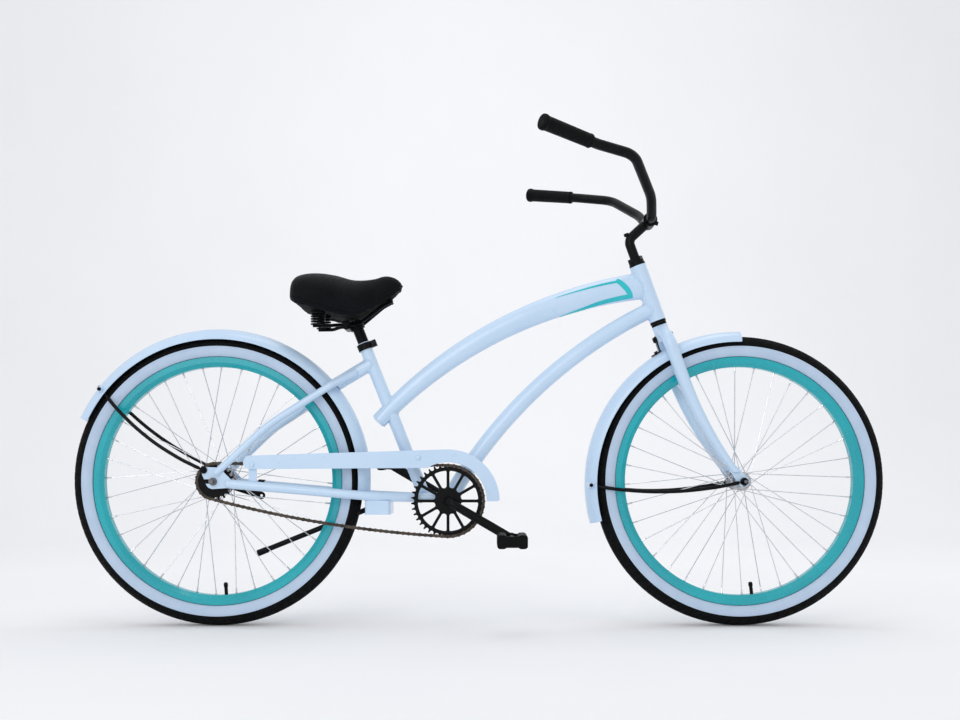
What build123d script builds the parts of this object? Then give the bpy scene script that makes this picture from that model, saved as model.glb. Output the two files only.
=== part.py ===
from build123d import *

import os
from math import asin, atan2, cos, degrees, hypot, pi, radians, sin, sqrt, tan

# Beach cruiser bicycle with 26 inch wheels and a coaster brake, in millimetres.
# +X points forward, +Y to the rider's left, +Z up.
# The origin is on the ground, midway between the axles, in the bicycle's middle plane.

# Wheels
WHEELBASE = 1198.0
BEAD_SEAT_RADIUS = 279.5
RIM_FLANGE = 5.5
RIM_DEPTH = 22.5
RIM_WIDTH = 34.0
RIM_WALL = 2.0
TYRE_SECTION = 54.0
TYRE_LIFT = 20.5
TYRE_WALL = 3.0
TUBE_WALL = 1.2
VALVE_DIAMETER = 8.0
VALVE_LENGTH = 27.0
FRONT_VALVE_ANGLE = -83.2
REAR_VALVE_ANGLE = -86.4
SPOKES = 36
SPOKE_CROSSINGS = 3
SPOKE_DIAMETER = 2.0
RIM_HOLE_STAGGER = 2.6

# Front hub and axle
FRONT_DROPOUT_SPACING = 100.0
FRONT_FLANGE_RADIUS = 22.0
FRONT_FLANGE_SPACING = 66.0
FRONT_BARREL_RADIUS = 12.0
FRONT_AXLE_DIAMETER = 8.0
FLANGE_THICKNESS = 2.5
HUB_END_GAP = 6.0

# Rear hub and axle
REAR_DROPOUT_SPACING = 110.0
REAR_FLANGE_RADIUS = 33.0
REAR_FLANGE_SPACING = 58.0
REAR_BARREL_RADIUS = 23.0
REAR_AXLE_DIAMETER = 9.52
AXLE_END = 9.0
END_RELIEF = 0.6
END_RELIEF_DEPTH = 0.5
NUT_THICKNESS = 9.0
NUT_ACROSS = 15.0
WASHER_THICKNESS = 1.6

# Chain drive
CHAIN_PITCH = 12.7
CHAINRING_TEETH = 40
SPROCKET_TEETH = 20
NOMINAL_CENTRES = 531.0
CHAIN_SLACK = 0.9
CHAIN_LINE = 44.0
ROLLER_DIAMETER = 7.75
PLATE_HEIGHT = 8.6
PLATE_THICKNESS = 1.0
INNER_WIDTH = 3.4
LINK_CLEARANCE = 0.12
TOOTH_THICKNESS = 2.8
TOOTH_CLEARANCE = 0.36
WINDOWS = 12
WINDOW_INNER_RADIUS = 37.0
WINDOW_OUTER_RADIUS = 69.0

# Bottom bracket and cranks
BRACKET_HEIGHT = 288.0
BRACKET_SHELL_DIAMETER = 60.0
BRACKET_SHELL_WIDTH = 68.0
BRACKET_SHELL_WALL = 4.0
CRANK_LENGTH = 165.0
CRANK_ANGLE = -30.0
SPINDLE_DIAMETER = 22.0
ARM_WIDTH = 20.0
ARM_THICKNESS = 12.0
ARM_ROOT_OFFSET = 63.0
ARM_END_OFFSET = 79.0
PEDAL_BOSS_RADIUS = 13.0
PEDAL_THREAD_DIAMETER = 12.7
PEDAL_LENGTH = 66.0
PEDAL_HEIGHT = 30.0
PEDAL_WIDTH = 94.0
PEDAL_BLOCK_DEPTH = 21.0

# Frame tubes
HEAD_ANGLE = 70.0
FORK_RAKE = 48.2
CROWN_HEIGHT = 399.0
LOWER_STACK = 12.0
HEAD_TUBE_LENGTH = 134.5
HEAD_TUBE_DIAMETER = 38.0
HEAD_TUBE_WALL = 3.0
TOP_TUBE_RADIUS = 1000.0
TOP_TUBE_DROP = 48.0
TOP_TUBE_REAR_HEIGHT = 37.0
TOP_TUBE_FRONT_HEIGHT = 62.0
TOP_TUBE_WIDTH = 35.0
TOP_TUBE_STUB = 38.0
TUBE_WALL_THICKNESS = 2.0
DOWN_TUBE_RADIUS = 1075.0
DOWN_TUBE_RISE = 30.0
DOWN_TUBE_DIAMETER = 37.0
SEAT_ANGLE = 68.3
SEAT_TUBE_SETBACK = 52.0
SEAT_TUBE_DIAMETER = 28.6
SEAT_TUBE_HEIGHT = 651.0
TOP_TUBE_JOINT_HEIGHT = 497.0
CHAIN_STAY_DIAMETER = 21.0
CHAIN_STAY_FRONT_OFFSET = 22.0
CHAIN_STAY_TYRE_OFFSET = 46.0
SEAT_STAY_DIAMETER = 17.0
SEAT_STAY_TYRE_OFFSET = 44.5
SEAT_STAY_TOP_OFFSET = 15.0
YOKE_DIAMETER = 31.0
YOKE_HEIGHT = 604.0
DROPOUT_THICKNESS = 5.0

# Fork and headset
STEERER_DIAMETER = 25.4
STEERER_WALL = 1.6
BLADE_DIAMETER = 29.0
BLADE_TIP_DIAMETER = 20.0
BLADE_OFFSET = 53.0
BLADE_BEND_START = 278.0
CROWN_BEND_RADIUS = 34.0
LOCKNUT_HEIGHT = 8.0

# Stem, handlebar and grips
QUILL_TOP = 609.0
QUILL_INSERT = 60.0
STEM_REACH = 47.5
STEM_RISE = 43.5
STEM_CLAMP_WIDTH = 46.0
CLAMP_WALL = 5.0
BAR_DIAMETER = 22.2
BAR_CENTRE_HALF = 42.0
GRIP_LENGTH = 128.0
GRIP_DIAMETER = 31.0
GRIP_FLANGE_DIAMETER = 37.0

# Fenders and stays
FENDER_GAP = 16.5
FENDER_THICKNESS = 1.2
FENDER_HALF_WIDTH = 33.0
FENDER_DEPTH = 25.0
FRONT_FENDER_START = 89.0
FRONT_FENDER_END = 195.0
REAR_FENDER_START = -7.0
REAR_FENDER_END = 155.0
FENDER_STAY_DIAMETER = 7.0

# Chain guard
GUARD_OFFSET = 61.8
GUARD_DEPTH = 8.0
GUARD_THICKNESS = 1.2
GUARD_OUTER_RADIUS = 117.0
GUARD_INNER_RADIUS = 88.0
GUARD_REAR_X = -531.0
GUARD_REAR_TOP = 391.0
GUARD_REAR_HEIGHT = 30.5
GUARD_FRONT_LOWER = 363.0

# Kickstand
KICKSTAND_X = -244.0
KICKSTAND_Z = 270.0
KICKSTAND_OFFSET = 50.0
KICKSTAND_FOOT_X = -522.0
KICKSTAND_FOOT_Z = 160.0
KICKSTAND_FOOT_OUT = 74.0
KICKSTAND_DIAMETER = 12.5

# Seat
SEAT_POST_DIAMETER = 25.4
SEAT_POST_LENGTH = 280.0
SEAT_CLAMP_HEIGHT = 690.0
SADDLE_LENGTH = 254.0
SADDLE_TOP = 811.0
SPRING_COILS = 4
SPRING_DIAMETER = 34.0
SPRING_WIRE = 4.4

# Clearances
RUNNING_FIT = 0.05
SEAT_GAP = 0.3

# Worked out from the above
RIM_EDGE_RADIUS = BEAD_SEAT_RADIUS + RIM_FLANGE
RIM_INNER_RADIUS = RIM_EDGE_RADIUS - RIM_DEPTH
TYRE_CENTRE = RIM_EDGE_RADIUS + TYRE_LIFT
TYRE_RADIUS = TYRE_CENTRE + TYRE_SECTION / 2
AXLE_HEIGHT = TYRE_RADIUS
FRONT_X = WHEELBASE / 2
REAR_X = -WHEELBASE / 2
FENDER_RADIUS = TYRE_RADIUS + FENDER_GAP + FENDER_THICKNESS
FRONT_AXLE = Vector(FRONT_X, 0, AXLE_HEIGHT)
REAR_AXLE = Vector(REAR_X, 0, AXLE_HEIGHT)
STEER_UP = Vector(-cos(radians(HEAD_ANGLE)), 0, sin(radians(HEAD_ANGLE)))
STEER_FRONT = Vector(sin(radians(HEAD_ANGLE)), 0, cos(radians(HEAD_ANGLE)))
SEAT_UP = Vector(-cos(radians(SEAT_ANGLE)), 0, sin(radians(SEAT_ANGLE)))
HEAD_BOTTOM = CROWN_HEIGHT + LOWER_STACK
HEAD_TOP = HEAD_BOTTOM + HEAD_TUBE_LENGTH
Y_AXIS = Vector(0, 1, 0)


def side(y=0.0, x=0.0, z=0.0):
    """A plane facing the rider's right, with its x forward and its y up."""
    return Plane(origin=(x, y, z), x_dir=(1, 0, 0), z_dir=(0, -1, 0))


def steer(height, forward=0.0, left=0.0):
    """A plane square to the steering axis, at a height along it from the foot below the front axle's level."""
    foot = FRONT_AXLE - STEER_FRONT * FORK_RAKE
    origin = foot + STEER_UP * height + STEER_FRONT * forward + Y_AXIS * left
    return Plane(origin=origin, x_dir=STEER_FRONT, z_dir=STEER_UP)


def seat(z, left=0.0):
    """A plane square to the seat tube's axis, where the axis passes a height above the ground."""
    along = (z - BRACKET_HEIGHT) / SEAT_UP.Z
    origin = Vector(bracket_x - SEAT_TUBE_SETBACK, left, BRACKET_HEIGHT) + SEAT_UP * along
    return Plane(origin=origin, x_dir=SEAT_UP.cross(Y_AXIS) * -1, z_dir=SEAT_UP)


def radial(centre, angle):
    """A plane through a wheel's axis: its x is along the axle and its y points outward at an angle."""
    a = radians(angle)
    return Plane(origin=centre, x_dir=(0, 1, 0), z_dir=(sin(a), 0, -cos(a)))


def around(centre, radius, angle, y=0.0):
    """A point at a radius and an angle about an axis that is parallel to the axles."""
    a = radians(angle)
    return Vector(centre.X + radius * cos(a), y, centre.Z + radius * sin(a))


def rod(start, end, radius, sides=0):
    """A straight round bar, or one with flat sides, between two points."""
    run = Vector(end) - Vector(start)
    with BuildPart() as bar:
        with BuildSketch(Plane(origin=start, z_dir=run)):
            if sides:
                RegularPolygon(radius, sides)
            else:
                Circle(radius)
        extrude(amount=run.length)
    return bar.part


def bent(points, bends, radius, bore=0.0):
    """A bar or tube along straight runs joined by tangent arcs."""
    with BuildPart() as bar:
        with BuildLine() as path:
            FilletPolyline(*points, radius=bends)
        with BuildSketch(Plane(origin=path.line @ 0, z_dir=path.line % 0)):
            Circle(radius)
            if bore:
                Circle(bore, mode=Mode.SUBTRACT)
        sweep(path=path.line)
    return bar.part


def mirrored(piece):
    """A piece and its twin on the other side of the bicycle, as separate solids."""
    return Compound([*piece.solids(), *piece.mirror(Plane.XZ).solids()])


def save(piece, name):
    """Name a finished piece and write it to its own file."""
    piece.label = name
    export_step(piece, f"parts/{name}.step")


# Chain drive layout

ring_radius = CHAIN_PITCH / (2 * sin(pi / CHAINRING_TEETH))
sprocket_radius = CHAIN_PITCH / (2 * sin(pi / SPROCKET_TEETH))


def pitches_round(centres):
    """How many pitches a taut loop takes at a distance between the sprockets' centres."""
    lean = asin((ring_radius - sprocket_radius) / centres)
    straight = sqrt(centres**2 - (ring_radius - sprocket_radius) ** 2)
    wraps = CHAINRING_TEETH * (pi + 2 * lean) + SPROCKET_TEETH * (pi - 2 * lean)
    return 2 * straight / CHAIN_PITCH + wraps / (2 * pi)


chain_links = 2 * round(pitches_round(NOMINAL_CENTRES) / 2)
centres = NOMINAL_CENTRES
for _ in range(20):
    centres += (chain_links - CHAIN_SLACK / CHAIN_PITCH - pitches_round(centres)) * CHAIN_PITCH / 2
bracket_drop = AXLE_HEIGHT - BRACKET_HEIGHT
bracket_x = REAR_X + sqrt(centres**2 - bracket_drop**2)
BRACKET = Vector(bracket_x, 0, BRACKET_HEIGHT)
drive_angle = -degrees(asin(bracket_drop / centres))
lean_angle = degrees(asin((ring_radius - sprocket_radius) / centres))


def chain_pins():
    """The pins' places in the side view, in order round the loop, starting at the top of the chainring."""
    y = -CHAIN_LINE
    top = 90 + drive_angle + lean_angle
    first = around(BRACKET, ring_radius, top, y)
    back = around(Vector(0, 0, 0), 1, top + 90)
    straight = sqrt(centres**2 - (ring_radius - sprocket_radius) ** 2)
    run = int(straight / CHAIN_PITCH)
    pins = [first + back * (CHAIN_PITCH * i) for i in range(run + 1)]
    left_over = straight - run * CHAIN_PITCH
    step = 360 / SPROCKET_TEETH
    angle = top + step * (1 - left_over / CHAIN_PITCH)
    low_angle = top + 180 - 2 * lean_angle
    while angle <= low_angle + 1e-6:
        pins.append(around(REAR_AXLE, sprocket_radius, angle, y))
        angle += step
    ring = []
    ring_step = 360 / CHAINRING_TEETH
    angle = top - ring_step
    while angle >= top - 180 - 2 * lean_angle - 1e-6:
        ring.append(around(BRACKET, ring_radius, angle, y))
        angle -= ring_step
    ring.reverse()
    return pins, ring


def sag(start, end, links):
    """The pins between two points on the slack lower run, on an arc whose chords are one pitch."""
    span = end - start
    low, high = 1e-5, pi / links
    for _ in range(60):
        turn = (low + high) / 2
        reach = CHAIN_PITCH * sin(links * turn / 2) / sin(turn / 2)
        low, high = (turn, high) if reach > span.length else (low, turn)
    heading = atan2(span.Z, span.X) - (links - 1) * turn / 2
    points, at = [], start
    for _ in range(links - 1):
        at = at + Vector(cos(heading), 0, sin(heading)) * CHAIN_PITCH
        points.append(at)
        heading += turn
    return points


upper_pins, ring_pins = chain_pins()
lower_links = chain_links - len(upper_pins) - len(ring_pins) + 1
lower_pins = sag(upper_pins[-1], ring_pins[0], lower_links)
pins = [*upper_pins, *lower_pins, *ring_pins]
sprocket_phase = degrees(atan2(upper_pins[-1].Z - REAR_AXLE.Z, upper_pins[-1].X - REAR_AXLE.X))
ring_phase = 90 + drive_angle + lean_angle

os.makedirs("parts", exist_ok=True)

# Head tube, with the bore that the headset cups press into

head_bore = HEAD_TUBE_DIAMETER / 2 - HEAD_TUBE_WALL

with BuildPart() as head_tube:
    with BuildSketch(steer(HEAD_BOTTOM)):
        Circle(HEAD_TUBE_DIAMETER / 2)
        Circle(head_bore, mode=Mode.SUBTRACT)
    extrude(amount=HEAD_TUBE_LENGTH)
save(head_tube.part, "head_tube")


def arc_between(start, end, radius):
    """The centre of a circle through two points of the side view, on the lower right of the way up."""
    run = end - start
    middle = (start + end) * 0.5
    square = Vector(run.Z, 0, -run.X).normalized()
    return middle + square * sqrt(radius**2 - (run.length / 2) ** 2)


# Top tube: an arc that grows taller to the front, with a capped stub behind the seat tube

top_tube_start = seat(TOP_TUBE_JOINT_HEIGHT).origin
top_tube_end = steer(HEAD_TOP - TOP_TUBE_DROP).origin
top_centre = arc_between(top_tube_start, top_tube_end, TOP_TUBE_RADIUS)


def angle_from(centre, point):
    return degrees(atan2(point.Z - centre.Z, point.X - centre.X))


TOP_TUBE_STATIONS = 6
top_start_angle = angle_from(top_centre, top_tube_start) + degrees(TOP_TUBE_STUB / TOP_TUBE_RADIUS)
top_end_angle = angle_from(top_centre, top_tube_end)


def top_tube_solid(inset, first, last):
    """The tube's outside, or its inside when inset by the wall, between two shares of its length."""
    with BuildPart() as tube:
        for i in range(TOP_TUBE_STATIONS + 1):
            share = first + (last - first) * i / TOP_TUBE_STATIONS
            angle = top_start_angle + (top_end_angle - top_start_angle) * share
            height = TOP_TUBE_REAR_HEIGHT + (TOP_TUBE_FRONT_HEIGHT - TOP_TUBE_REAR_HEIGHT) * share
            place = around(top_centre, TOP_TUBE_RADIUS, angle)
            a = radians(angle)
            with BuildSketch(Plane(origin=place, x_dir=(0, 1, 0), z_dir=(sin(a), 0, -cos(a)))):
                Ellipse(TOP_TUBE_WIDTH / 2 - inset, height / 2 - inset)
        loft()
    return tube.part


def seat_tube_core(radius):
    """A long bar along the seat tube's axis."""
    base = seat(BRACKET_HEIGHT)
    return rod(base.origin - SEAT_UP * 60, base.origin + SEAT_UP * 480, radius)


def head_tube_core(radius):
    return rod(steer(HEAD_BOTTOM - 60).origin, steer(HEAD_TOP + 60).origin, radius)


cap_share = TUBE_WALL_THICKNESS / radians(top_start_angle - top_end_angle) / TOP_TUBE_RADIUS
with BuildPart() as top_tube:
    add(top_tube_solid(0, 0, 1))
    add(top_tube_solid(TUBE_WALL_THICKNESS, cap_share, 1.01), mode=Mode.SUBTRACT)
    add(head_tube_core(HEAD_TUBE_DIAMETER / 2), mode=Mode.SUBTRACT)
    add(seat_tube_core(SEAT_TUBE_DIAMETER / 2), mode=Mode.SUBTRACT)
save(top_tube.part.solids().sort_by(SortBy.VOLUME)[-1], "top_tube")

# Down tube: a plain arc from the bottom bracket to the head tube

down_end = steer(HEAD_BOTTOM + DOWN_TUBE_RISE).origin
down_centre = arc_between(BRACKET, down_end, DOWN_TUBE_RADIUS)
down_start_angle = angle_from(down_centre, BRACKET)
down_end_angle = angle_from(down_centre, down_end)

with BuildPart() as down_tube:
    with BuildLine() as down_path:
        ThreePointArc(
            BRACKET,
            around(down_centre, DOWN_TUBE_RADIUS, (down_start_angle + down_end_angle) / 2),
            down_end,
        )
    with BuildSketch(Plane(origin=down_path.line @ 0, z_dir=down_path.line % 0)):
        Circle(DOWN_TUBE_DIAMETER / 2)
        Circle(DOWN_TUBE_DIAMETER / 2 - TUBE_WALL_THICKNESS, mode=Mode.SUBTRACT)
    sweep(path=down_path.line)
    add(head_tube_core(HEAD_TUBE_DIAMETER / 2), mode=Mode.SUBTRACT)
    with Locations(side(0, BRACKET.X, BRACKET.Z)):
        Cylinder(BRACKET_SHELL_DIAMETER / 2, BRACKET_SHELL_WIDTH, mode=Mode.SUBTRACT)
save(down_tube.part.solids().sort_by(SortBy.VOLUME)[-1], "down_tube")

# Bottom bracket shell

shell_bore = BRACKET_SHELL_DIAMETER / 2 - BRACKET_SHELL_WALL

with BuildPart() as bottom_bracket_shell:
    with BuildSketch(side(0, BRACKET.X, BRACKET.Z)):
        Circle(BRACKET_SHELL_DIAMETER / 2)
        Circle(shell_bore, mode=Mode.SUBTRACT)
    extrude(amount=BRACKET_SHELL_WIDTH / 2, both=True)
save(bottom_bracket_shell.part, "bottom_bracket_shell")

# Chain stays: straight beside the wheel, drawn in behind the bottom bracket, with a bridge

dropout_y = REAR_DROPOUT_SPACING / 2 + DROPOUT_THICKNESS / 2
stay_front_z = BRACKET_HEIGHT + 7
stay_tyre_x = REAR_X + FENDER_RADIUS + CHAIN_STAY_DIAMETER / 2 + 2
stay_front_x = bracket_x - ring_radius - PLATE_HEIGHT / 2 - 4
stay_bend_z = BRACKET_HEIGHT + 10
stay_rear = Vector(REAR_X + 30, dropout_y - 1, AXLE_HEIGHT - 5)
stay_points = [
    stay_rear,
    Vector(stay_tyre_x, CHAIN_STAY_TYRE_OFFSET, stay_bend_z),
    Vector(stay_front_x, CHAIN_STAY_FRONT_OFFSET, stay_front_z),
    Vector(bracket_x, CHAIN_STAY_FRONT_OFFSET, stay_front_z),
]

STAY_BRIDGE_DIAMETER = 16.0
BOLT_HOLE = 2.6
BOLT_DEPTH = 20.0


def chain_stay_bar(bore=0.0):
    return bent(stay_points, [90, 90], CHAIN_STAY_DIAMETER / 2, bore)


with BuildPart() as chain_stay:
    add(chain_stay_bar(CHAIN_STAY_DIAMETER / 2 - TUBE_WALL_THICKNESS))
    with Locations(side(0, BRACKET.X, BRACKET.Z)):
        Cylinder(BRACKET_SHELL_DIAMETER / 2, 3 * BRACKET_SHELL_WIDTH, mode=Mode.SUBTRACT)
chain_stay_half = chain_stay.part.solids().sort_by(SortBy.VOLUME)[-1]

bridge_reach = FENDER_RADIUS + SEAT_GAP + STAY_BRIDGE_DIAMETER / 2
bridge_x = REAR_X + sqrt(bridge_reach**2 - (AXLE_HEIGHT - stay_bend_z) ** 2)
with BuildPart() as stay_bridge:
    with Locations(side(0, bridge_x, stay_bend_z)):
        Cylinder(STAY_BRIDGE_DIAMETER / 2, 2 * CHAIN_STAY_TYRE_OFFSET)
    add(chain_stay_bar(), mode=Mode.SUBTRACT)
    add(chain_stay_bar().mirror(Plane.XZ), mode=Mode.SUBTRACT)
    bolt_run = (Vector(bridge_x, 0, stay_bend_z) - REAR_AXLE).normalized() * BOLT_DEPTH
    bolt_foot = Vector(bridge_x, 0, stay_bend_z) - bolt_run
    add(rod(bolt_foot, bolt_foot + bolt_run * 2, BOLT_HOLE), mode=Mode.SUBTRACT)
bridge = stay_bridge.part.solids().sort_by(SortBy.VOLUME)[-1]
save(Compound([chain_stay_half, chain_stay_half.mirror(Plane.XZ), bridge]), "chain_stays")

# Seat tube: its foot is cut to sit between the chain stays

seat_bore = SEAT_POST_DIAMETER / 2 + RUNNING_FIT
with BuildPart() as seat_tube:
    with BuildSketch(seat(stay_front_z - 4)):
        Circle(SEAT_TUBE_DIAMETER / 2)
        Circle(seat_bore, mode=Mode.SUBTRACT)
    extrude(amount=(SEAT_TUBE_HEIGHT - stay_front_z + 4) / SEAT_UP.Z)
    add(chain_stay_bar(), mode=Mode.SUBTRACT)
    add(chain_stay_bar().mirror(Plane.XZ), mode=Mode.SUBTRACT)
save(seat_tube.part.solids().sort_by(SortBy.VOLUME)[-1], "seat_tube")

# Seat stay yoke: a stout tube from the seat tube to the fender's crown

yoke_front = seat(YOKE_HEIGHT).origin
YOKE_ANGLE = 31.0
yoke_back = Vector(-cos(radians(YOKE_ANGLE)), 0, -sin(radians(YOKE_ANGLE)))


def yoke_reach():
    """How far back from the seat tube the yoke runs before it meets the fender."""
    limit = FENDER_RADIUS + SEAT_GAP
    offset = yoke_front - REAR_AXLE
    along = offset.dot(yoke_back)
    return -along - sqrt(along**2 - offset.dot(offset) + limit**2)


yoke_length = yoke_reach()
yoke_end = yoke_front + yoke_back * yoke_length
with BuildPart() as seat_stay_yoke:
    with BuildSketch(Plane(origin=yoke_front, z_dir=yoke_back)):
        Circle(YOKE_DIAMETER / 2)
    extrude(amount=yoke_length + YOKE_DIAMETER)
    add(seat_tube_core(SEAT_TUBE_DIAMETER / 2), mode=Mode.SUBTRACT)
    with Locations(side(0, REAR_X, AXLE_HEIGHT)):
        Cylinder(FENDER_RADIUS + SEAT_GAP, 4 * YOKE_DIAMETER, mode=Mode.SUBTRACT)
    yoke_out = (yoke_end - REAR_AXLE).normalized() * BOLT_DEPTH
    add(rod(yoke_end - yoke_out, yoke_end + yoke_out, BOLT_HOLE), mode=Mode.SUBTRACT)
yoke = seat_stay_yoke.part.solids().sort_by(lambda s: s.center().X)[-1]
save(yoke, "seat_stay_yoke")

# Seat stays: beside the wheel, then drawn in to the yoke's sides

seat_stay_foot = Vector(REAR_X + 6, dropout_y + 2.5, AXLE_HEIGHT + 18)
seat_stay_bow = Vector(-478, SEAT_STAY_TYRE_OFFSET + 8, 459)
seat_stay_shoulder = yoke_end + yoke_back * 6 + Y_AXIS * SEAT_STAY_TYRE_OFFSET
seat_stay_top = yoke_front + yoke_back * (yoke_length * 0.45) + Y_AXIS * SEAT_STAY_TOP_OFFSET


def seat_stay_bar(bore=0.0):
    points = [seat_stay_foot, seat_stay_bow, seat_stay_shoulder, seat_stay_top]
    return bent(points, [420, 42], SEAT_STAY_DIAMETER / 2, bore)


with BuildPart() as seat_stay:
    add(seat_stay_bar())
    add(rod(yoke_front, yoke_end + yoke_back * 60, YOKE_DIAMETER / 2), mode=Mode.SUBTRACT)
seat_stay_half = seat_stay.part.solids().sort_by(SortBy.VOLUME)[-1]
save(mirrored(seat_stay_half), "seat_stays")

# Dropouts: plates between the stays' ends, slotted to the rear for the axle

DROPOUT_RADIUS = 17.0
EYELET = Vector(REAR_X - 21, 0, AXLE_HEIGHT + 26)
EYELET_RADIUS = 7.0
EYELET_HOLE = 2.7
axle_slot = REAR_AXLE_DIAMETER + 2 * SEAT_GAP

with BuildPart() as dropout:
    with BuildSketch(side(dropout_y)):
        with Locations((REAR_X, AXLE_HEIGHT)):
            Circle(DROPOUT_RADIUS)
        with Locations((EYELET.X, EYELET.Z)):
            Circle(EYELET_RADIUS)
        with Locations((stay_rear.X + 6, stay_rear.Z)):
            Circle(CHAIN_STAY_DIAMETER / 2 - 1)
        with Locations((seat_stay_foot.X + 4, seat_stay_foot.Z + 5)):
            Circle(SEAT_STAY_DIAMETER / 2)
        make_hull()
        with Locations((REAR_X - DROPOUT_RADIUS, AXLE_HEIGHT)):
            Rectangle(2 * DROPOUT_RADIUS, axle_slot, mode=Mode.SUBTRACT)
        with Locations((REAR_X, AXLE_HEIGHT)):
            Circle(axle_slot / 2, mode=Mode.SUBTRACT)
        with Locations((EYELET.X, EYELET.Z)):
            Circle(EYELET_HOLE, mode=Mode.SUBTRACT)
    extrude(amount=DROPOUT_THICKNESS / 2, both=True)
    add(chain_stay_bar(), mode=Mode.SUBTRACT)
    add(seat_stay_bar(), mode=Mode.SUBTRACT)
dropout_half = dropout.part.solids().sort_by(SortBy.VOLUME)[-1]
save(mirrored(dropout_half), "dropouts")

# Kickstand bracket: a channel welded under the chain stays

CHANNEL_FRONT_X = -200.0
CHANNEL_REAR_X = -258.0
CHANNEL_BOTTOM_Z = 257.0
CHANNEL_WALL = 4.0
channel_half = KICKSTAND_OFFSET - SEAT_GAP
channel_top = stay_bend_z - CHAIN_STAY_DIAMETER / 2 + 1.5
channel_middle = (CHANNEL_FRONT_X + CHANNEL_REAR_X) / 2
channel_length = CHANNEL_FRONT_X - CHANNEL_REAR_X
PIVOT_RADIUS = 4.0
PIVOT_BOSS_RADIUS = 11.0
PIVOT_HEAD = 7.5
PIVOT_BOSS_LENGTH = 13.0
PIVOT_PROUD = 4.2
SKIRT_GAP = 0.1

# The kickstand turns about one slanted axis from its stowed place to the ground

pivot = Vector(KICKSTAND_X, KICKSTAND_OFFSET + PIVOT_PROUD, KICKSTAND_Z)
stowed_foot = Vector(KICKSTAND_FOOT_X, KICKSTAND_FOOT_OUT, KICKSTAND_FOOT_Z)
stowed = (stowed_foot - pivot).normalized()
lowered = Vector(-0.17, 0.45, -0.8767).normalized()
turn_line = (lowered - stowed).normalized()
pivot_axis = (Y_AXIS - turn_line * Y_AXIS.dot(turn_line)).normalized()
stowed_flat = stowed - pivot_axis * stowed.dot(pivot_axis)
lowered_flat = lowered - pivot_axis * lowered.dot(pivot_axis)
fold_angle = degrees(atan2(pivot_axis.dot(stowed_flat.cross(lowered_flat)), stowed_flat.dot(lowered_flat)))

with BuildPart() as kickstand_bracket:
    with BuildSketch(Plane.XY.offset(CHANNEL_BOTTOM_Z)):
        with Locations((channel_middle, 0)):
            RectangleRounded(channel_length, 2 * channel_half, 8)
    extrude(amount=channel_top - CHANNEL_BOTTOM_Z)
    with BuildSketch(Plane.XY.offset(CHANNEL_BOTTOM_Z)):
        with Locations((channel_middle, 0)):
            RectangleRounded(channel_length - 2 * CHANNEL_WALL, 2 * (channel_half - CHANNEL_WALL), 5)
    extrude(amount=channel_top - CHANNEL_BOTTOM_Z - CHANNEL_WALL, mode=Mode.SUBTRACT)
    add(rod(pivot - pivot_axis * 16, pivot - pivot_axis * SKIRT_GAP, PIVOT_BOSS_RADIUS))
    add(rod(pivot - pivot_axis * 30, pivot + pivot_axis * 30, PIVOT_RADIUS), mode=Mode.SUBTRACT)
    add(chain_stay_bar(), mode=Mode.SUBTRACT)
    add(chain_stay_bar().mirror(Plane.XZ), mode=Mode.SUBTRACT)
save(kickstand_bracket.part.solids().sort_by(SortBy.VOLUME)[-1], "kickstand_bracket")


def ring(plane, outer, inner, height):
    """A plain ring standing on a plane."""
    with BuildPart() as part:
        with BuildSketch(plane):
            Circle(outer)
            Circle(inner, mode=Mode.SUBTRACT)
        extrude(amount=height)
    return part.part


# Headset: cups pressed into the head tube, ball retainers inside them, races and nuts on the steerer

CUP_LIP = 5.5
CUP_INSERT = 9.0
CUP_WALL = 1.2
RACE_HEIGHT = 5.8
steerer_radius = STEERER_DIAMETER / 2
cup_bore = head_bore - CUP_WALL
lip_radius = HEAD_TUBE_DIAMETER / 2 - 0.4

with BuildPart() as lower_cup:
    add(ring(steer(HEAD_BOTTOM - CUP_LIP), lip_radius, cup_bore, CUP_LIP))
    add(ring(steer(HEAD_BOTTOM), head_bore, cup_bore, CUP_INSERT))
with BuildPart() as upper_cup:
    add(ring(steer(HEAD_TOP), lip_radius, cup_bore, CUP_LIP))
    add(ring(steer(HEAD_TOP - CUP_INSERT), head_bore, cup_bore, CUP_INSERT))
save(Compound([*lower_cup.part.solids(), *upper_cup.part.solids()]), "headset_cups")

retainer = cup_bore - RUNNING_FIT
lower_balls = ring(steer(HEAD_BOTTOM), retainer, steerer_radius, CUP_INSERT - 3)
upper_balls = ring(steer(HEAD_TOP - CUP_INSERT + 3), retainer, steerer_radius, CUP_INSERT - 3)
save(Compound([*lower_balls.solids(), *upper_balls.solids()]), "headset_bearings")

nut_base = HEAD_TOP + CUP_LIP + SEAT_GAP
crown_race = ring(steer(CROWN_HEIGHT), lip_radius - 1, steerer_radius, LOWER_STACK - CUP_LIP - SEAT_GAP)
upper_race = ring(steer(nut_base), lip_radius - 1, steerer_radius, RACE_HEIGHT)
with BuildPart() as locknut:
    with BuildSketch(steer(nut_base + RACE_HEIGHT)):
        RegularPolygon(lip_radius - 1, 6)
        Circle(steerer_radius, mode=Mode.SUBTRACT)
    extrude(amount=LOCKNUT_HEIGHT)
save(Compound([*crown_race.solids(), *upper_race.solids(), *locknut.part.solids()]), "headset_nuts")
steerer_top = nut_base + RACE_HEIGHT + LOCKNUT_HEIGHT

# Fork: steerer, crown block, two blades that curve forward, and slotted tips

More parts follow.
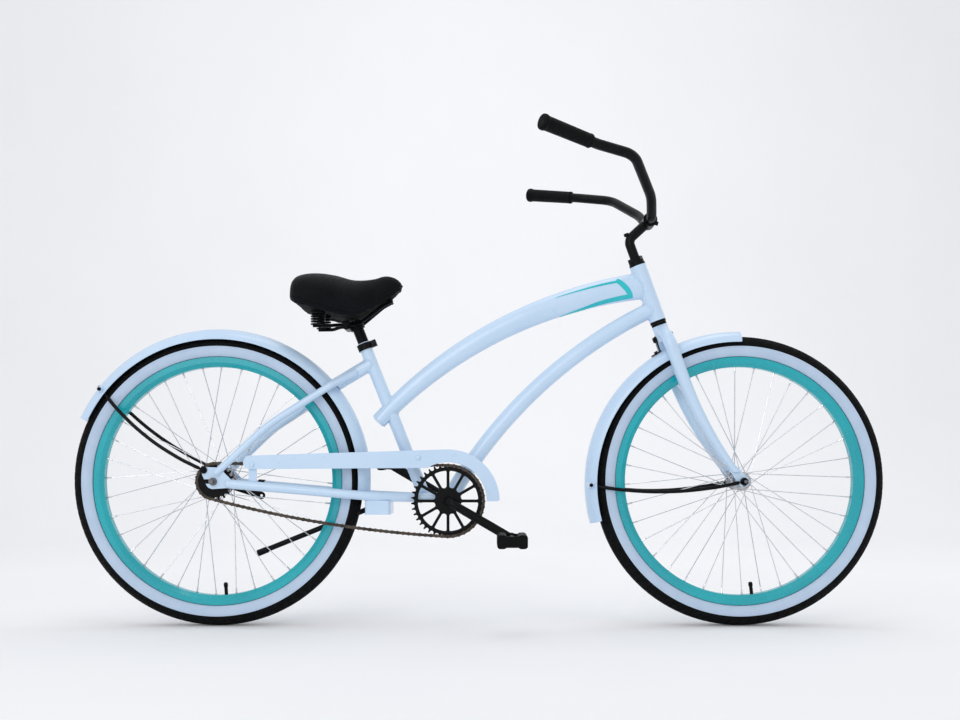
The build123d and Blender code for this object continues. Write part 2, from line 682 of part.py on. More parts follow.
tip_y = FRONT_DROPOUT_SPACING / 2 + DROPOUT_THICKNESS / 2
BLADE_TIP_HEIGHT = 26.0
BLADE_STATIONS = 5
bend_radius = (BLADE_BEND_START**2 + FORK_RAKE**2) / (2 * FORK_RAKE)
CROWN_BLOCK_RADIUS = 18.0
CROWN_BLOCK_HEIGHT = 37.0
CROWN_BOLT_HEIGHT = 371.0
CROWN_BOLT_RADIUS = 3.0
FORK_TIP_RADIUS = 13.0


def blade_forward(height):
    """How far a blade's centreline stands ahead of the steering axis at a height along it."""
    down = BLADE_BEND_START - height
    return bend_radius - sqrt(bend_radius**2 - down**2) if down > 0 else 0.0


def blade_plane(height):
    lean = degrees(asin(max(BLADE_BEND_START - height, 0) / bend_radius))
    flat = steer(height, blade_forward(height), BLADE_OFFSET)
    return Plane(origin=flat.origin, x_dir=flat.x_dir.rotate(Axis.Y, lean), z_dir=flat.z_dir.rotate(Axis.Y, lean))


with BuildPart() as blade:
    with BuildLine() as blade_path:
        FilletPolyline(
            steer(CROWN_HEIGHT - BLADE_DIAMETER / 2 + 4, 0, 8).origin,
            steer(CROWN_HEIGHT - 36, 0, BLADE_OFFSET).origin,
            steer(BLADE_BEND_START, 0, BLADE_OFFSET).origin,
            radius=CROWN_BEND_RADIUS,
        )
    with BuildSketch(Plane(origin=blade_path.line @ 0, z_dir=blade_path.line % 0)):
        Circle(BLADE_DIAMETER / 2)
    sweep(path=blade_path.line)
    for i in range(BLADE_STATIONS + 1):
        share = i / BLADE_STATIONS
        height = BLADE_BEND_START + (BLADE_TIP_HEIGHT - BLADE_BEND_START) * share
        radius = (BLADE_DIAMETER + (BLADE_TIP_DIAMETER - BLADE_DIAMETER) * share) / 2
        with BuildSketch(blade_plane(height)):
            Circle(radius)
    loft()
    with BuildSketch(side(tip_y)):
        with Locations((FRONT_AXLE.X, FRONT_AXLE.Z)):
            Circle(FORK_TIP_RADIUS)
        tip_end = blade_plane(BLADE_TIP_HEIGHT + 8).origin
        with Locations((tip_end.X, tip_end.Z)):
            Circle(BLADE_TIP_DIAMETER / 2 - 1)
        make_hull()
    extrude(amount=DROPOUT_THICKNESS / 2, both=True)
    slot_down = Plane(origin=(FRONT_AXLE.X, tip_y, FRONT_AXLE.Z), x_dir=STEER_FRONT, z_dir=(0, -1, 0))
    with BuildSketch(slot_down):
        Circle(FRONT_AXLE_DIAMETER / 2 + SEAT_GAP)
        with Locations((0, -FORK_TIP_RADIUS)):
            Rectangle(FRONT_AXLE_DIAMETER + 2 * SEAT_GAP, 2 * FORK_TIP_RADIUS)
    extrude(amount=2 * DROPOUT_THICKNESS, both=True, mode=Mode.SUBTRACT)

with BuildPart() as fork:
    add(blade.part)
    add(blade.part.mirror(Plane.XZ))
    add(ring(steer(CROWN_HEIGHT - CROWN_BLOCK_HEIGHT), CROWN_BLOCK_RADIUS, 1, CROWN_BLOCK_HEIGHT))
    with BuildSketch(steer(CROWN_HEIGHT)):
        Circle(4 * CROWN_BLOCK_RADIUS)
    extrude(amount=BLADE_DIAMETER, mode=Mode.SUBTRACT)
    with BuildSketch(steer(CROWN_HEIGHT - CROWN_BLOCK_HEIGHT + 6)):
        Circle(steerer_radius)
    extrude(amount=steerer_top - CROWN_HEIGHT + CROWN_BLOCK_HEIGHT - 6)
    with BuildSketch(steer(CROWN_HEIGHT - CROWN_BLOCK_HEIGHT - BLADE_DIAMETER)):
        Circle(steerer_radius - STEERER_WALL)
    extrude(amount=steerer_top - CROWN_HEIGHT + CROWN_BLOCK_HEIGHT + BLADE_DIAMETER, mode=Mode.SUBTRACT)
    crown_bolt_at = steer(CROWN_BOLT_HEIGHT).origin
    add(rod(crown_bolt_at - STEER_FRONT * 40, crown_bolt_at + STEER_FRONT * 40, CROWN_BOLT_RADIUS + 0.1), mode=Mode.SUBTRACT)
save(fork.part.solids().sort_by(SortBy.VOLUME)[-1], "fork")

# Stem: a quill that turns forward to the handlebar clamp, with its expander and clamp bolts

quill_radius = steerer_radius - STEERER_WALL
stem_bend = steer(QUILL_TOP).origin
clamp = stem_bend + Vector(STEM_REACH, 0, STEM_RISE)
bar_radius = BAR_DIAMETER / 2
clamp_radius = bar_radius + CLAMP_WALL
STEM_BEND_RADIUS = 20.0
PINCH_DROP = 4.0

with BuildPart() as stem:
    add(bent([steer(steerer_top - QUILL_INSERT).origin, stem_bend, clamp], STEM_BEND_RADIUS, quill_radius))
    with Locations(side(0, clamp.X, clamp.Z)):
        Cylinder(clamp_radius, STEM_CLAMP_WIDTH)
        Cylinder(bar_radius, 2 * STEM_CLAMP_WIDTH, mode=Mode.SUBTRACT)
save(stem.part, "stem")

expander = rod(stem_bend + STEER_UP * (quill_radius - 2), stem_bend + STEER_UP * (quill_radius + 5), 6.0, 6)
with BuildPart() as stem_bolts:
    add(expander)
    add(stem.part, mode=Mode.SUBTRACT)
expander_head = stem_bolts.part.solids().sort_by(SortBy.VOLUME)[-1]
pinch_at = Vector(clamp.X + clamp_radius - 1, 0, clamp.Z - PINCH_DROP)
with BuildPart() as pinch_bolt:
    add(rod(pinch_at, pinch_at + Vector(6, 0, -1.5), 5.0, 6))
    add(stem.part, mode=Mode.SUBTRACT)
pinch_head = pinch_bolt.part.solids().sort_by(SortBy.VOLUME)[-1]
save(Compound([expander_head, pinch_head]), "stem_bolts")

# Handlebar: one tube that rises to each side and sweeps back to the grips

BAR_WALL = 1.6
bar_half = [
    clamp,
    clamp + Vector(0, BAR_CENTRE_HALF, 0),
    clamp + Vector(-9, 98, 33),
    clamp + Vector(-62, 212, 96),
    clamp + Vector(-142, 242, 110),
    clamp + Vector(-262.5, 317, 135),
]
bar_bends = [35, 150, 58, 90]


def bar_side(bore):
    return bent(bar_half, bar_bends, bar_radius, bore)


with BuildPart() as handlebar:
    add(bar_side(bar_radius - BAR_WALL))
    mirror(about=Plane.XZ)
save(handlebar.part, "handlebar")

bar_end = bar_half[-1]
grip_back = (bar_half[-2] - bar_end).normalized()
GRIP_CAP = 3.0
GRIP_RIBS = 9
with BuildPart() as grip:
    base = Plane(origin=bar_end - grip_back * GRIP_CAP, z_dir=grip_back)
    with BuildSketch(base):
        Circle(GRIP_DIAMETER / 2 - 1)
    extrude(amount=GRIP_LENGTH + GRIP_CAP)
    with BuildSketch(base.offset(GRIP_LENGTH + GRIP_CAP - 4)):
        Circle(GRIP_FLANGE_DIAMETER / 2)
    extrude(amount=4)
    with BuildSketch(base):
        Circle(GRIP_DIAMETER / 2 + 0.6)
    extrude(amount=7)
    for i in range(GRIP_RIBS):
        with BuildSketch(base.offset(14 + i * 11.5)):
            Circle(GRIP_DIAMETER / 2)
        extrude(amount=7)
    with BuildSketch(base.offset(GRIP_CAP)):
        Circle(bar_radius)
    extrude(amount=2 * GRIP_LENGTH, mode=Mode.SUBTRACT)
save(mirrored(grip.part), "grips")


# Fenders: a crowned section turned about the axle, with holes for the stay bolts

FENDER_BOLT_RADIUS = 2.5
crown_arc = (FENDER_HALF_WIDTH**2 + FENDER_DEPTH**2) / (2 * FENDER_DEPTH)


def fender_side(radius):
    """Half the outer width of a fender's section at a radius from its centre."""
    return sqrt(crown_arc**2 - (radius - FENDER_RADIUS + crown_arc) ** 2)


FENDER_SECTION_POINTS = 8


def crown_points(radius):
    """Points across a fender's section, from one side to the other, on an arc of a radius."""
    middle = FENDER_RADIUS - crown_arc
    edge = atan2(crown_arc - FENDER_DEPTH, FENDER_HALF_WIDTH)
    angles = [edge + (pi - 2 * edge) * i / FENDER_SECTION_POINTS for i in range(FENDER_SECTION_POINTS + 1)]
    return [(radius * cos(a), middle + radius * sin(a)) for a in angles]


def drilled(sheet, cores):
    """The sheet less the first core that leaves one solid with a little taken away."""
    for core in cores:
        left = sheet.cut(core).solids()
        if len(left) == 1 and left[0].is_valid and 10 < sheet.volume - left[0].volume < 200:
            return left[0]
    raise ValueError("no core cuts this hole cleanly")


def fender(centre, start, end, bolt, fixings):
    """A fender's sheet, drilled for its stay bolt and for the fixings on its crown."""
    outside = crown_points(crown_arc)
    inside = crown_points(crown_arc - FENDER_THICKNESS)
    with BuildPart() as part:
        with BuildSketch(radial(centre, start)):
            with BuildLine():
                Spline(*outside)
                Line(outside[-1], inside[-1])
                Spline(*inside)
                Line(outside[0], inside[0])
            make_face()
        revolve(axis=Axis(centre, (0, -1, 0)), revolution_arc=end - start)
    sheet = part.part.solids()[0]
    for at in fixings:
        sheet = drilled(sheet, [radial_hole(at, centre, 6, turn) for turn in (1.5, 0.4, 4, 0)])
    reach = Y_AXIS * (2 * FENDER_HALF_WIDTH)
    across = rod(bolt - reach, bolt + reach, FENDER_BOLT_RADIUS + 0.1)
    return drilled(sheet, [across.rotate(Axis(bolt, (0, 1, 0)), turn) for turn in (0, 50, 25, 75)])


EYE_THICKNESS = 4.0
EYE_RADIUS = 7.0
FLAT_LENGTH = 17.0


def fender_stay(foot, end, bow, foot_bore):
    """A bowed rod with a flattened eye at each end; bow is how far its middle hangs below a straight line."""
    run = end - foot
    square = Vector(run.Z, 0, -run.X).normalized()
    if square.Z > 0:
        square = square * -1
    middle = (foot + end) * 0.5 + square * bow
    with BuildPart() as part:
        with BuildLine() as path:
            ThreePointArc(foot, middle, end)
        with BuildSketch(Plane(origin=path.line @ 0, z_dir=path.line % 0)):
            Circle(FENDER_STAY_DIAMETER / 2)
        sweep(path=path.line)
        for eye in (foot, end):
            with Locations(side(eye.Y, eye.X, eye.Z)):
                Cylinder(FLAT_LENGTH, 60, mode=Mode.SUBTRACT)
        for eye, share in ((foot, 0.07), (end, 0.93)):
            root = path.line @ share
            with BuildSketch(side(eye.Y)):
                with Locations((eye.X, eye.Z)):
                    Circle(EYE_RADIUS)
                with Locations((root.X, root.Z)):
                    Circle(FENDER_STAY_DIAMETER / 2)
                make_hull()
            extrude(amount=EYE_THICKNESS / 2, both=True)
        for eye, bore in ((foot, foot_bore), (end, FENDER_BOLT_RADIUS + 0.1)):
            with Locations(side(eye.Y, eye.X, eye.Z)):
                Cylinder(bore, 40, mode=Mode.SUBTRACT)
    return part.part


def radial_bolt(at, centre, length, head=6.0, head_height=3.5):
    """A bolt that goes outward through a fender's crown; its head sits under the crown."""
    out = (at - centre).normalized()
    under = centre + out * (FENDER_RADIUS - FENDER_THICKNESS - CROWN_DROP)
    with BuildPart() as part:
        add(rod(under - out * head_height, under, head))
        add(rod(under - out * 1, under + out * length, FENDER_BOLT_RADIUS))
    return part.part


def radial_hole(at, centre, reach, turn=1.5):
    """A bolt hole's core, outward through a fender's crown; turn places its seam."""
    out = (at - centre).normalized()
    across = Vector(-out.Z, turn, out.X)
    with BuildPart() as core:
        with BuildSketch(Plane(origin=centre + out * (FENDER_RADIUS - 12), x_dir=across, z_dir=out)):
            Circle(FENDER_BOLT_RADIUS + 0.1)
        extrude(amount=12 + reach)
    return core.part


def skirt_bolt(at, skirt_radius):
    """A bolt through a stay's eye and a fender's side, with its nut inside the fender."""
    eye = FENDER_HALF_WIDTH + SKIRT_GAP
    collar = fender_side(skirt_radius - COLLAR_RADIUS) + SKIRT_GAP
    nut = fender_side(skirt_radius + NUT_RADIUS) - 2.2
    with BuildPart() as part:
        add(rod((at.X, eye + EYE_THICKNESS + 4, at.Z), (at.X, eye + EYE_THICKNESS + 0.1, at.Z), NUT_RADIUS, 6))
        add(rod((at.X, eye + EYE_THICKNESS + 4, at.Z), (at.X, nut - 3, at.Z), FENDER_BOLT_RADIUS))
        add(rod((at.X, nut - 3, at.Z), (at.X, nut, at.Z), NUT_RADIUS, 6))
        add(rod((at.X, collar, at.Z), (at.X, eye - SKIRT_GAP, at.Z), COLLAR_RADIUS))
    return part.part


CROWN_DROP = 0.8
NUT_RADIUS = 4.5
COLLAR_RADIUS = 4.0

# Rear fender: bolted to the yoke and to the chain stay bridge, held behind by two stays

REAR_BOLT_RADIUS = 337.5
REAR_BOLT_ANGLE = 141.5
REAR_STAY_BOW = 19.0
rear_bolt = around(REAR_AXLE, REAR_BOLT_RADIUS, REAR_BOLT_ANGLE)
rear_eye_y = FENDER_HALF_WIDTH + SKIRT_GAP + EYE_THICKNESS / 2
bridge_centre = Vector(bridge_x, 0, stay_bend_z)
rear_fixings = [yoke_end, bridge_centre]
save(fender(REAR_AXLE, REAR_FENDER_START, REAR_FENDER_END, rear_bolt, rear_fixings), "rear_fender")

eyelet_y = dropout_y + DROPOUT_THICKNESS / 2 + SKIRT_GAP + EYE_THICKNESS / 2
rear_stay = fender_stay(
    Vector(EYELET.X, eyelet_y, EYELET.Z),
    Vector(rear_bolt.X, rear_eye_y, rear_bolt.Z),
    REAR_STAY_BOW,
    EYELET_HOLE,
)
save(mirrored(rear_stay), "rear_fender_stays")

# Front fender: hung from the fork's crown bolt by a bracket, held below by two stays on the axle

FRONT_FENDER_SHIFT = Vector(-4.6, 0, -6)
FRONT_BOLT_RADIUS = 338.0
FRONT_BOLT_ANGLE = 180.5
FRONT_STAY_BOW = 19.0
fender_centre = FRONT_AXLE + FRONT_FENDER_SHIFT
front_bolt = around(fender_centre, FRONT_BOLT_RADIUS, FRONT_BOLT_ANGLE)
front_eye_y = FENDER_HALF_WIDTH + SKIRT_GAP + EYE_THICKNESS / 2

HANGER_WIDTH = 16.0
HANGER_THICKNESS = 3.0
HANGER_FOOT = 20.0
hanger_back = CROWN_BLOCK_RADIUS + SKIRT_GAP
hanger_at = steer(CROWN_BOLT_HEIGHT, -hanger_back - HANGER_THICKNESS / 2).origin


def fender_height(forward):
    """The height along the steering axis at which the front fender's crown passes a place ahead of that axis."""
    low, high = 300.0, 380.0
    for _ in range(50):
        middle = (low + high) / 2
        apart = (steer(middle, forward).origin - fender_centre).length
        low, high = (middle, high) if apart < FENDER_RADIUS else (low, middle)
    return low


hanger_foot_height = fender_height(-hanger_back - HANGER_FOOT / 2)
foot_centre = steer(hanger_foot_height, -hanger_back - HANGER_FOOT / 2).origin
foot_out = (foot_centre - fender_centre).normalized()
with BuildPart() as hanger:
    add(rod(hanger_at - STEER_FRONT * 1.5, hanger_at + STEER_FRONT * 1.5, HANGER_WIDTH / 2))
    low_line = steer(hanger_foot_height, -hanger_back - HANGER_THICKNESS / 2).origin
    with BuildSketch(Plane(origin=hanger_at, x_dir=(0, 1, 0), z_dir=STEER_FRONT)):
        with Locations((0, -(CROWN_BOLT_HEIGHT - hanger_foot_height) / 2)):
            Rectangle(HANGER_WIDTH, CROWN_BOLT_HEIGHT - hanger_foot_height)
    extrude(amount=HANGER_THICKNESS / 2, both=True)
    foot_base = foot_centre + foot_out * (0.2 + HANGER_THICKNESS / 2)
    with BuildSketch(Plane(origin=foot_base, x_dir=(0, 1, 0), z_dir=foot_out)):
        RectangleRounded(HANGER_WIDTH, HANGER_FOOT + 6, 3)
    extrude(amount=HANGER_THICKNESS / 2, both=True)
    with Locations(side(0, fender_centre.X, fender_centre.Z)):
        Cylinder(FENDER_RADIUS + 0.1, 60, mode=Mode.SUBTRACT)
    add(ring(steer(CROWN_BOLT_HEIGHT - 60), hanger_back, 0.01, 90), mode=Mode.SUBTRACT)
    add(rod(hanger_at - STEER_FRONT * 9, hanger_at + STEER_FRONT * 9, CROWN_BOLT_RADIUS + 0.1), mode=Mode.SUBTRACT)
    add(radial_hole(foot_centre, fender_centre, 9), mode=Mode.SUBTRACT)
save(hanger.part.solids().sort_by(SortBy.VOLUME)[-1], "front_fender_hanger")

save(fender(fender_centre, FRONT_FENDER_START, FRONT_FENDER_END, front_bolt, [foot_centre]), "front_fender")

fork_face = FRONT_DROPOUT_SPACING / 2 + DROPOUT_THICKNESS
front_stay = fender_stay(
    Vector(FRONT_AXLE.X, fork_face + SKIRT_GAP + EYE_THICKNESS / 2, FRONT_AXLE.Z),
    Vector(front_bolt.X, front_eye_y, front_bolt.Z),
    FRONT_STAY_BOW,
    FRONT_AXLE_DIAMETER / 2 + 0.1,
)
save(mirrored(front_stay), "front_fender_stays")

foot_nut = FENDER_RADIUS + HANGER_THICKNESS + 0.4
with BuildPart() as crown_bolt:
    back = crown_bolt_at - STEER_FRONT * (hanger_back + HANGER_THICKNESS + 0.1)
    front = crown_bolt_at + STEER_FRONT * (CROWN_BLOCK_RADIUS + 0.1)
    add(rod(back - STEER_FRONT * 5, front + STEER_FRONT * 2, CROWN_BOLT_RADIUS))
    add(rod(back - STEER_FRONT * 4.5, back, 6.5, 6))
    add(rod(front, front + STEER_FRONT * 4.5, 6.5, 6))
with BuildPart() as foot_bolt:
    add(radial_bolt(foot_centre, fender_centre, 9))
    nut_at = fender_centre + foot_out * foot_nut
    add(rod(nut_at, nut_at + foot_out * 3.5, NUT_RADIUS, 6))
front_skirt = skirt_bolt(front_bolt, FRONT_BOLT_RADIUS)
front_fender_fixings = [*crown_bolt.part.solids(), *foot_bolt.part.solids()]
save(
    Compound([*front_fender_fixings, *front_skirt.solids(), *front_skirt.mirror(Plane.XZ).solids()]),
    "front_fender_bolts",
)

# Chain guard: a shallow pan with a lip, hooked round the chainring and running back over the chain

GUARD_NOSE_CORNER = 6.0
guard_back = GUARD_OFFSET - GUARD_DEPTH
guard_top_angle = 91.75
guard_lower_x = sqrt(GUARD_INNER_RADIUS**2 - (GUARD_FRONT_LOWER - BRACKET_HEIGHT) ** 2)
guard_lower_angle = 180 - degrees(atan2(GUARD_FRONT_LOWER - BRACKET_HEIGHT, guard_lower_x))
guard_rear = GUARD_REAR_X - bracket_x
guard_high = GUARD_REAR_TOP - BRACKET_HEIGHT
guard_low = guard_high - GUARD_REAR_HEIGHT
with BuildSketch(Plane.XY) as guard_outline:
    with BuildLine():
        outer = CenterArc((0, 0), GUARD_OUTER_RADIUS, 0, guard_top_angle)
        top_line = Line(outer @ 1, (guard_rear + 12, guard_high))
        bulge = ThreePointArc(top_line @ 1, (guard_rear, guard_high - GUARD_REAR_HEIGHT / 2), (guard_rear + 12, guard_low))
        low_run = Line(bulge @ 1, (-guard_lower_x, GUARD_FRONT_LOWER - BRACKET_HEIGHT))
        inner = CenterArc((0, 0), GUARD_INNER_RADIUS, 0, guard_lower_angle)
        Line(inner @ 0, outer @ 0)
    make_face()
    fillet(guard_outline.vertices().group_by(Axis.X)[-1], GUARD_NOSE_CORNER)

GUARD_REAR_BOLT = Vector(-511, 0, 370)
GUARD_FRONT_BOLT = Vector(-136, 0, 386)
GUARD_BOLT_RADIUS = 2.5
with BuildPart() as chain_guard:
    with BuildSketch(side(-guard_back, BRACKET.X, BRACKET.Z)):
        add(guard_outline.sketch)
    extrude(amount=GUARD_DEPTH)
    with BuildSketch(side(-guard_back, BRACKET.X, BRACKET.Z)):
        offset(guard_outline.sketch, amount=-GUARD_THICKNESS)
    extrude(amount=GUARD_DEPTH - GUARD_THICKNESS, mode=Mode.SUBTRACT)
    fillet(chain_guard.faces().sort_by(Axis.Y)[0].edges(), 0.9)
    with Locations(*[side(-GUARD_OFFSET, b.X, b.Z) for b in (GUARD_REAR_BOLT, GUARD_FRONT_BOLT)]):
        Cylinder(GUARD_BOLT_RADIUS + 0.1, 30, mode=Mode.SUBTRACT)
save(chain_guard.part, "chain_guard")
guard_inside = GUARD_OFFSET - GUARD_THICKNESS

# Chain guard brackets: a tab welded on the chain stay and a band on the seat tube

TAB_THICKNESS = 2.5
TAB_WIDTH = 18.0
tab_outer = guard_back - SEAT_GAP
tab_inner = tab_outer - TAB_THICKNESS


def guard_spacer(at):
    return rod((at.X, -tab_outer + 0.5, at.Z), (at.X, -guard_inside + SKIRT_GAP, at.Z), 6)


with BuildPart() as guard_tab:
    with BuildSketch(side(-tab_inner)):
        with Locations((GUARD_REAR_BOLT.X, GUARD_REAR_BOLT.Z)):
            Circle(TAB_WIDTH / 2)
        with Locations((GUARD_REAR_BOLT.X, GUARD_REAR_BOLT.Z - 24)):
            Rectangle(TAB_WIDTH, 48)
    extrude(amount=TAB_THICKNESS)
    with BuildSketch(Plane.XY.offset(GUARD_REAR_BOLT.Z - 48)):
        with Locations((GUARD_REAR_BOLT.X, -tab_outer + 8)):
            Rectangle(TAB_WIDTH, 16)
    extrude(amount=TAB_THICKNESS)
    add(guard_spacer(GUARD_REAR_BOLT))
    with Locations(side(-GUARD_OFFSET, GUARD_REAR_BOLT.X, GUARD_REAR_BOLT.Z)):
        Cylinder(GUARD_BOLT_RADIUS + 0.1, 30, mode=Mode.SUBTRACT)
    add(chain_stay_bar().mirror(Plane.XZ), mode=Mode.SUBTRACT)
rear_tab = guard_tab.part.solids().sort_by(SortBy.VOLUME)[-1]

band_radius = SEAT_TUBE_DIAMETER / 2
with BuildPart() as guard_band:
    band = seat(GUARD_FRONT_BOLT.Z - 8)
    with BuildSketch(band):
        Circle(band_radius + 2.5)
        Circle(band_radius + SKIRT_GAP / 2, mode=Mode.SUBTRACT)
    extrude(amount=16)
    with BuildSketch(side(-band_radius - 0.8, GUARD_FRONT_BOLT.X, GUARD_FRONT_BOLT.Z)):
        RectangleRounded(26, 14, 4)
    extrude(amount=TAB_THICKNESS)
    with BuildSketch(Plane.XY.offset(GUARD_FRONT_BOLT.Z - 7)):
        with Locations((GUARD_FRONT_BOLT.X + 13 - TAB_THICKNESS / 2, -(tab_outer + band_radius) / 2)):
            Rectangle(TAB_THICKNESS, tab_outer - band_radius)
    extrude(amount=14)
    with BuildSketch(side(-tab_inner, GUARD_FRONT_BOLT.X + 3, GUARD_FRONT_BOLT.Z)):
        RectangleRounded(20, 14, 4)
    extrude(amount=TAB_THICKNESS)
    add(guard_spacer(GUARD_FRONT_BOLT))
    with Locations(side(-GUARD_OFFSET, GUARD_FRONT_BOLT.X, GUARD_FRONT_BOLT.Z)):
        Cylinder(GUARD_BOLT_RADIUS + 0.1, 20, mode=Mode.SUBTRACT)
front_band = guard_band.part.solids().sort_by(SortBy.VOLUME)[-1]
save(Compound([rear_tab, front_band]), "chain_guard_brackets")


def guard_bolt(at):
    """A round-headed bolt through the guard's face, with its nut behind the bracket."""
    with BuildPart() as part:
        add(rod((at.X, -GUARD_OFFSET - 0.1, at.Z), (at.X, -GUARD_OFFSET - 2.6, at.Z), 4.5))
        nut = -tab_inner + 0.1
        add(rod((at.X, -GUARD_OFFSET - 1, at.Z), (at.X, nut + 2, at.Z), GUARD_BOLT_RADIUS))
        add(rod((at.X, nut, at.Z), (at.X, nut + 2, at.Z), 4.5, 6))
    return part.part


# Bolts on the frame: fender crown bolts, stay bolts at the eyelets and the fender, and the guard's bolts

with BuildPart() as eyelet_bolt:
    head_y = eyelet_y + EYE_THICKNESS / 2 + 0.1
    add(rod((EYELET.X, head_y, EYELET.Z), (EYELET.X, head_y + 3.5, EYELET.Z), NUT_RADIUS, 6))
    add(rod((EYELET.X, head_y + 1, EYELET.Z), (EYELET.X, dropout_y - DROPOUT_THICKNESS / 2 - 1, EYELET.Z), EYELET_HOLE - 0.1))
rear_skirt = skirt_bolt(rear_bolt, REAR_BOLT_RADIUS)
pivot_head = PIVOT_BOSS_LENGTH + SKIRT_GAP
with BuildPart() as pivot_bolt:
    add(rod(pivot - pivot_axis * 15, pivot + pivot_axis * (pivot_head + 2), PIVOT_RADIUS))
    add(rod(pivot + pivot_axis * pivot_head, pivot + pivot_axis * (pivot_head + 3), PIVOT_HEAD, 6))
save(
    Compound([
        *pivot_bolt.part.solids(),
        *radial_bolt(yoke_end, REAR_AXLE, 18).solids(),
        *radial_bolt(bridge_centre, REAR_AXLE, 12).solids(),
        *guard_bolt(GUARD_REAR_BOLT).solids(),
        *guard_bolt(GUARD_FRONT_BOLT).solids(),
        *mirrored(eyelet_bolt.part).solids(),
        *mirrored(rear_skirt).solids(),
    ]),
    "frame_bolts",
)

# Tyres, inner tubes and rims, each turned about its axle

TYRE_INNER = TYRE_SECTION / 2 - TYRE_WALL
BEAD_OUTER = 14.7
BEAD_INNER = 11.5
RIM_SEAT_HALF = 15.0
WELL_HALF = 8.0
WELL_DEPTH = 4.0
VALVE_BORE = 1.5


def tyre(axle):
    with BuildPart() as part:
        with BuildSketch(radial(axle, 90)) as section:
            with Locations((0, TYRE_CENTRE)):
                Circle(TYRE_SECTION / 2)
            with Locations((0, RIM_EDGE_RADIUS - 20)):
                Rectangle(2 * BEAD_INNER, 50, mode=Mode.SUBTRACT)
            with Locations((0, TYRE_CENTRE)):
                Circle(TYRE_INNER, mode=Mode.SUBTRACT)
            with Locations((0, RIM_EDGE_RADIUS - 25 + 0.3)):
                Rectangle(80, 50, mode=Mode.SUBTRACT)
            bead_top = RIM_EDGE_RADIUS + 6
            bead_low = BEAD_SEAT_RADIUS + SEAT_GAP
            for s in (-1, 1):
                with Locations((s * (BEAD_OUTER + BEAD_INNER) / 2, (bead_top + bead_low) / 2)):
                    Rectangle(BEAD_OUTER - BEAD_INNER, bead_top - bead_low)
            with Locations((0, TYRE_CENTRE)):
                Circle(TYRE_INNER, mode=Mode.SUBTRACT)
        revolve(axis=Axis(axle, (0, 1, 0)))
    return part.part


def inner_tube(axle, angle):
    """A closed ring of thin rubber with a bored valve stem, which opens its inside."""
    out = around(Vector(0, 0, 0), 1, angle)
    tube_outer = TYRE_INNER - SEAT_GAP
    tube_inner = tube_outer - TUBE_WALL
    cap = axle + out * (RIM_INNER_RADIUS - VALVE_LENGTH)
    with BuildPart() as part:
        with BuildSketch(radial(axle, 90)):
            with Locations((0, TYRE_CENTRE)):
                Circle(tube_outer)
                Circle(tube_inner, mode=Mode.SUBTRACT)
        revolve(axis=Axis(axle, (0, 1, 0)))
        add(rod(cap, axle + out * (TYRE_CENTRE - tube_inner - TUBE_WALL / 2), VALVE_DIAMETER / 2))
        add(rod(cap - out, axle + out * (TYRE_CENTRE - tube_inner / 2), VALVE_BORE), mode=Mode.SUBTRACT)
    return part.part


def rim(axle, valve_angle):
    half = RIM_WIDTH / 2
    seat_low = BEAD_SEAT_RADIUS - WELL_DEPTH
    shoulder = RIM_INNER_RADIUS + 9.5
    with BuildPart() as part:
        with BuildSketch(radial(axle, 90)):
            with BuildLine():
                Polyline(
                    (-half, RIM_EDGE_RADIUS),
                    (-half, shoulder),
                    (-9, RIM_INNER_RADIUS),
                    (9, RIM_INNER_RADIUS),
                    (half, shoulder),
                    (half, RIM_EDGE_RADIUS),
                    (RIM_SEAT_HALF, RIM_EDGE_RADIUS),
                    (RIM_SEAT_HALF, BEAD_SEAT_RADIUS),
                    (WELL_HALF + 2.5, BEAD_SEAT_RADIUS),
                    (WELL_HALF, seat_low),
                    (-WELL_HALF, seat_low),
                    (-WELL_HALF - 2.5, BEAD_SEAT_RADIUS),
                    (-RIM_SEAT_HALF, BEAD_SEAT_RADIUS),
                    (-RIM_SEAT_HALF, RIM_EDGE_RADIUS),
                    close=True,
                )
            make_face()
            with BuildLine():
                Polyline(
                    (-half + RIM_WALL + 1, shoulder + 2),
                    (-8, RIM_INNER_RADIUS + RIM_WALL),
                    (8, RIM_INNER_RADIUS + RIM_WALL),
                    (half - RIM_WALL - 1, shoulder + 2),
                    (WELL_HALF, seat_low - RIM_WALL),
                    (-WELL_HALF, seat_low - RIM_WALL),
                    close=True,
                )
            make_face(mode=Mode.SUBTRACT)
        revolve(axis=Axis(axle, (0, 1, 0)))
        out = around(Vector(0, 0, 0), 1, valve_angle)
        with BuildSketch(Plane(origin=axle + out * (RIM_INNER_RADIUS - 5), x_dir=(0, 1, 0), z_dir=out)):
            Circle(VALVE_DIAMETER / 2 + 0.4)
        extrude(amount=30, mode=Mode.SUBTRACT)
    return part.part


save(tyre(FRONT_AXLE), "front_tyre")
save(tyre(REAR_AXLE), "rear_tyre")
save(inner_tube(FRONT_AXLE, FRONT_VALVE_ANGLE), "front_inner_tube")
save(inner_tube(REAR_AXLE, REAR_VALVE_ANGLE), "rear_inner_tube")
save(rim(FRONT_AXLE, FRONT_VALVE_ANGLE), "front_rim")
save(rim(REAR_AXLE, REAR_VALVE_ANGLE), "rear_rim")

# Spokes: laced three-cross, from both faces of each hub flange to the rim

SPOKE_HOLE_INSET = 3.0
SPOKE_SIDES = 6


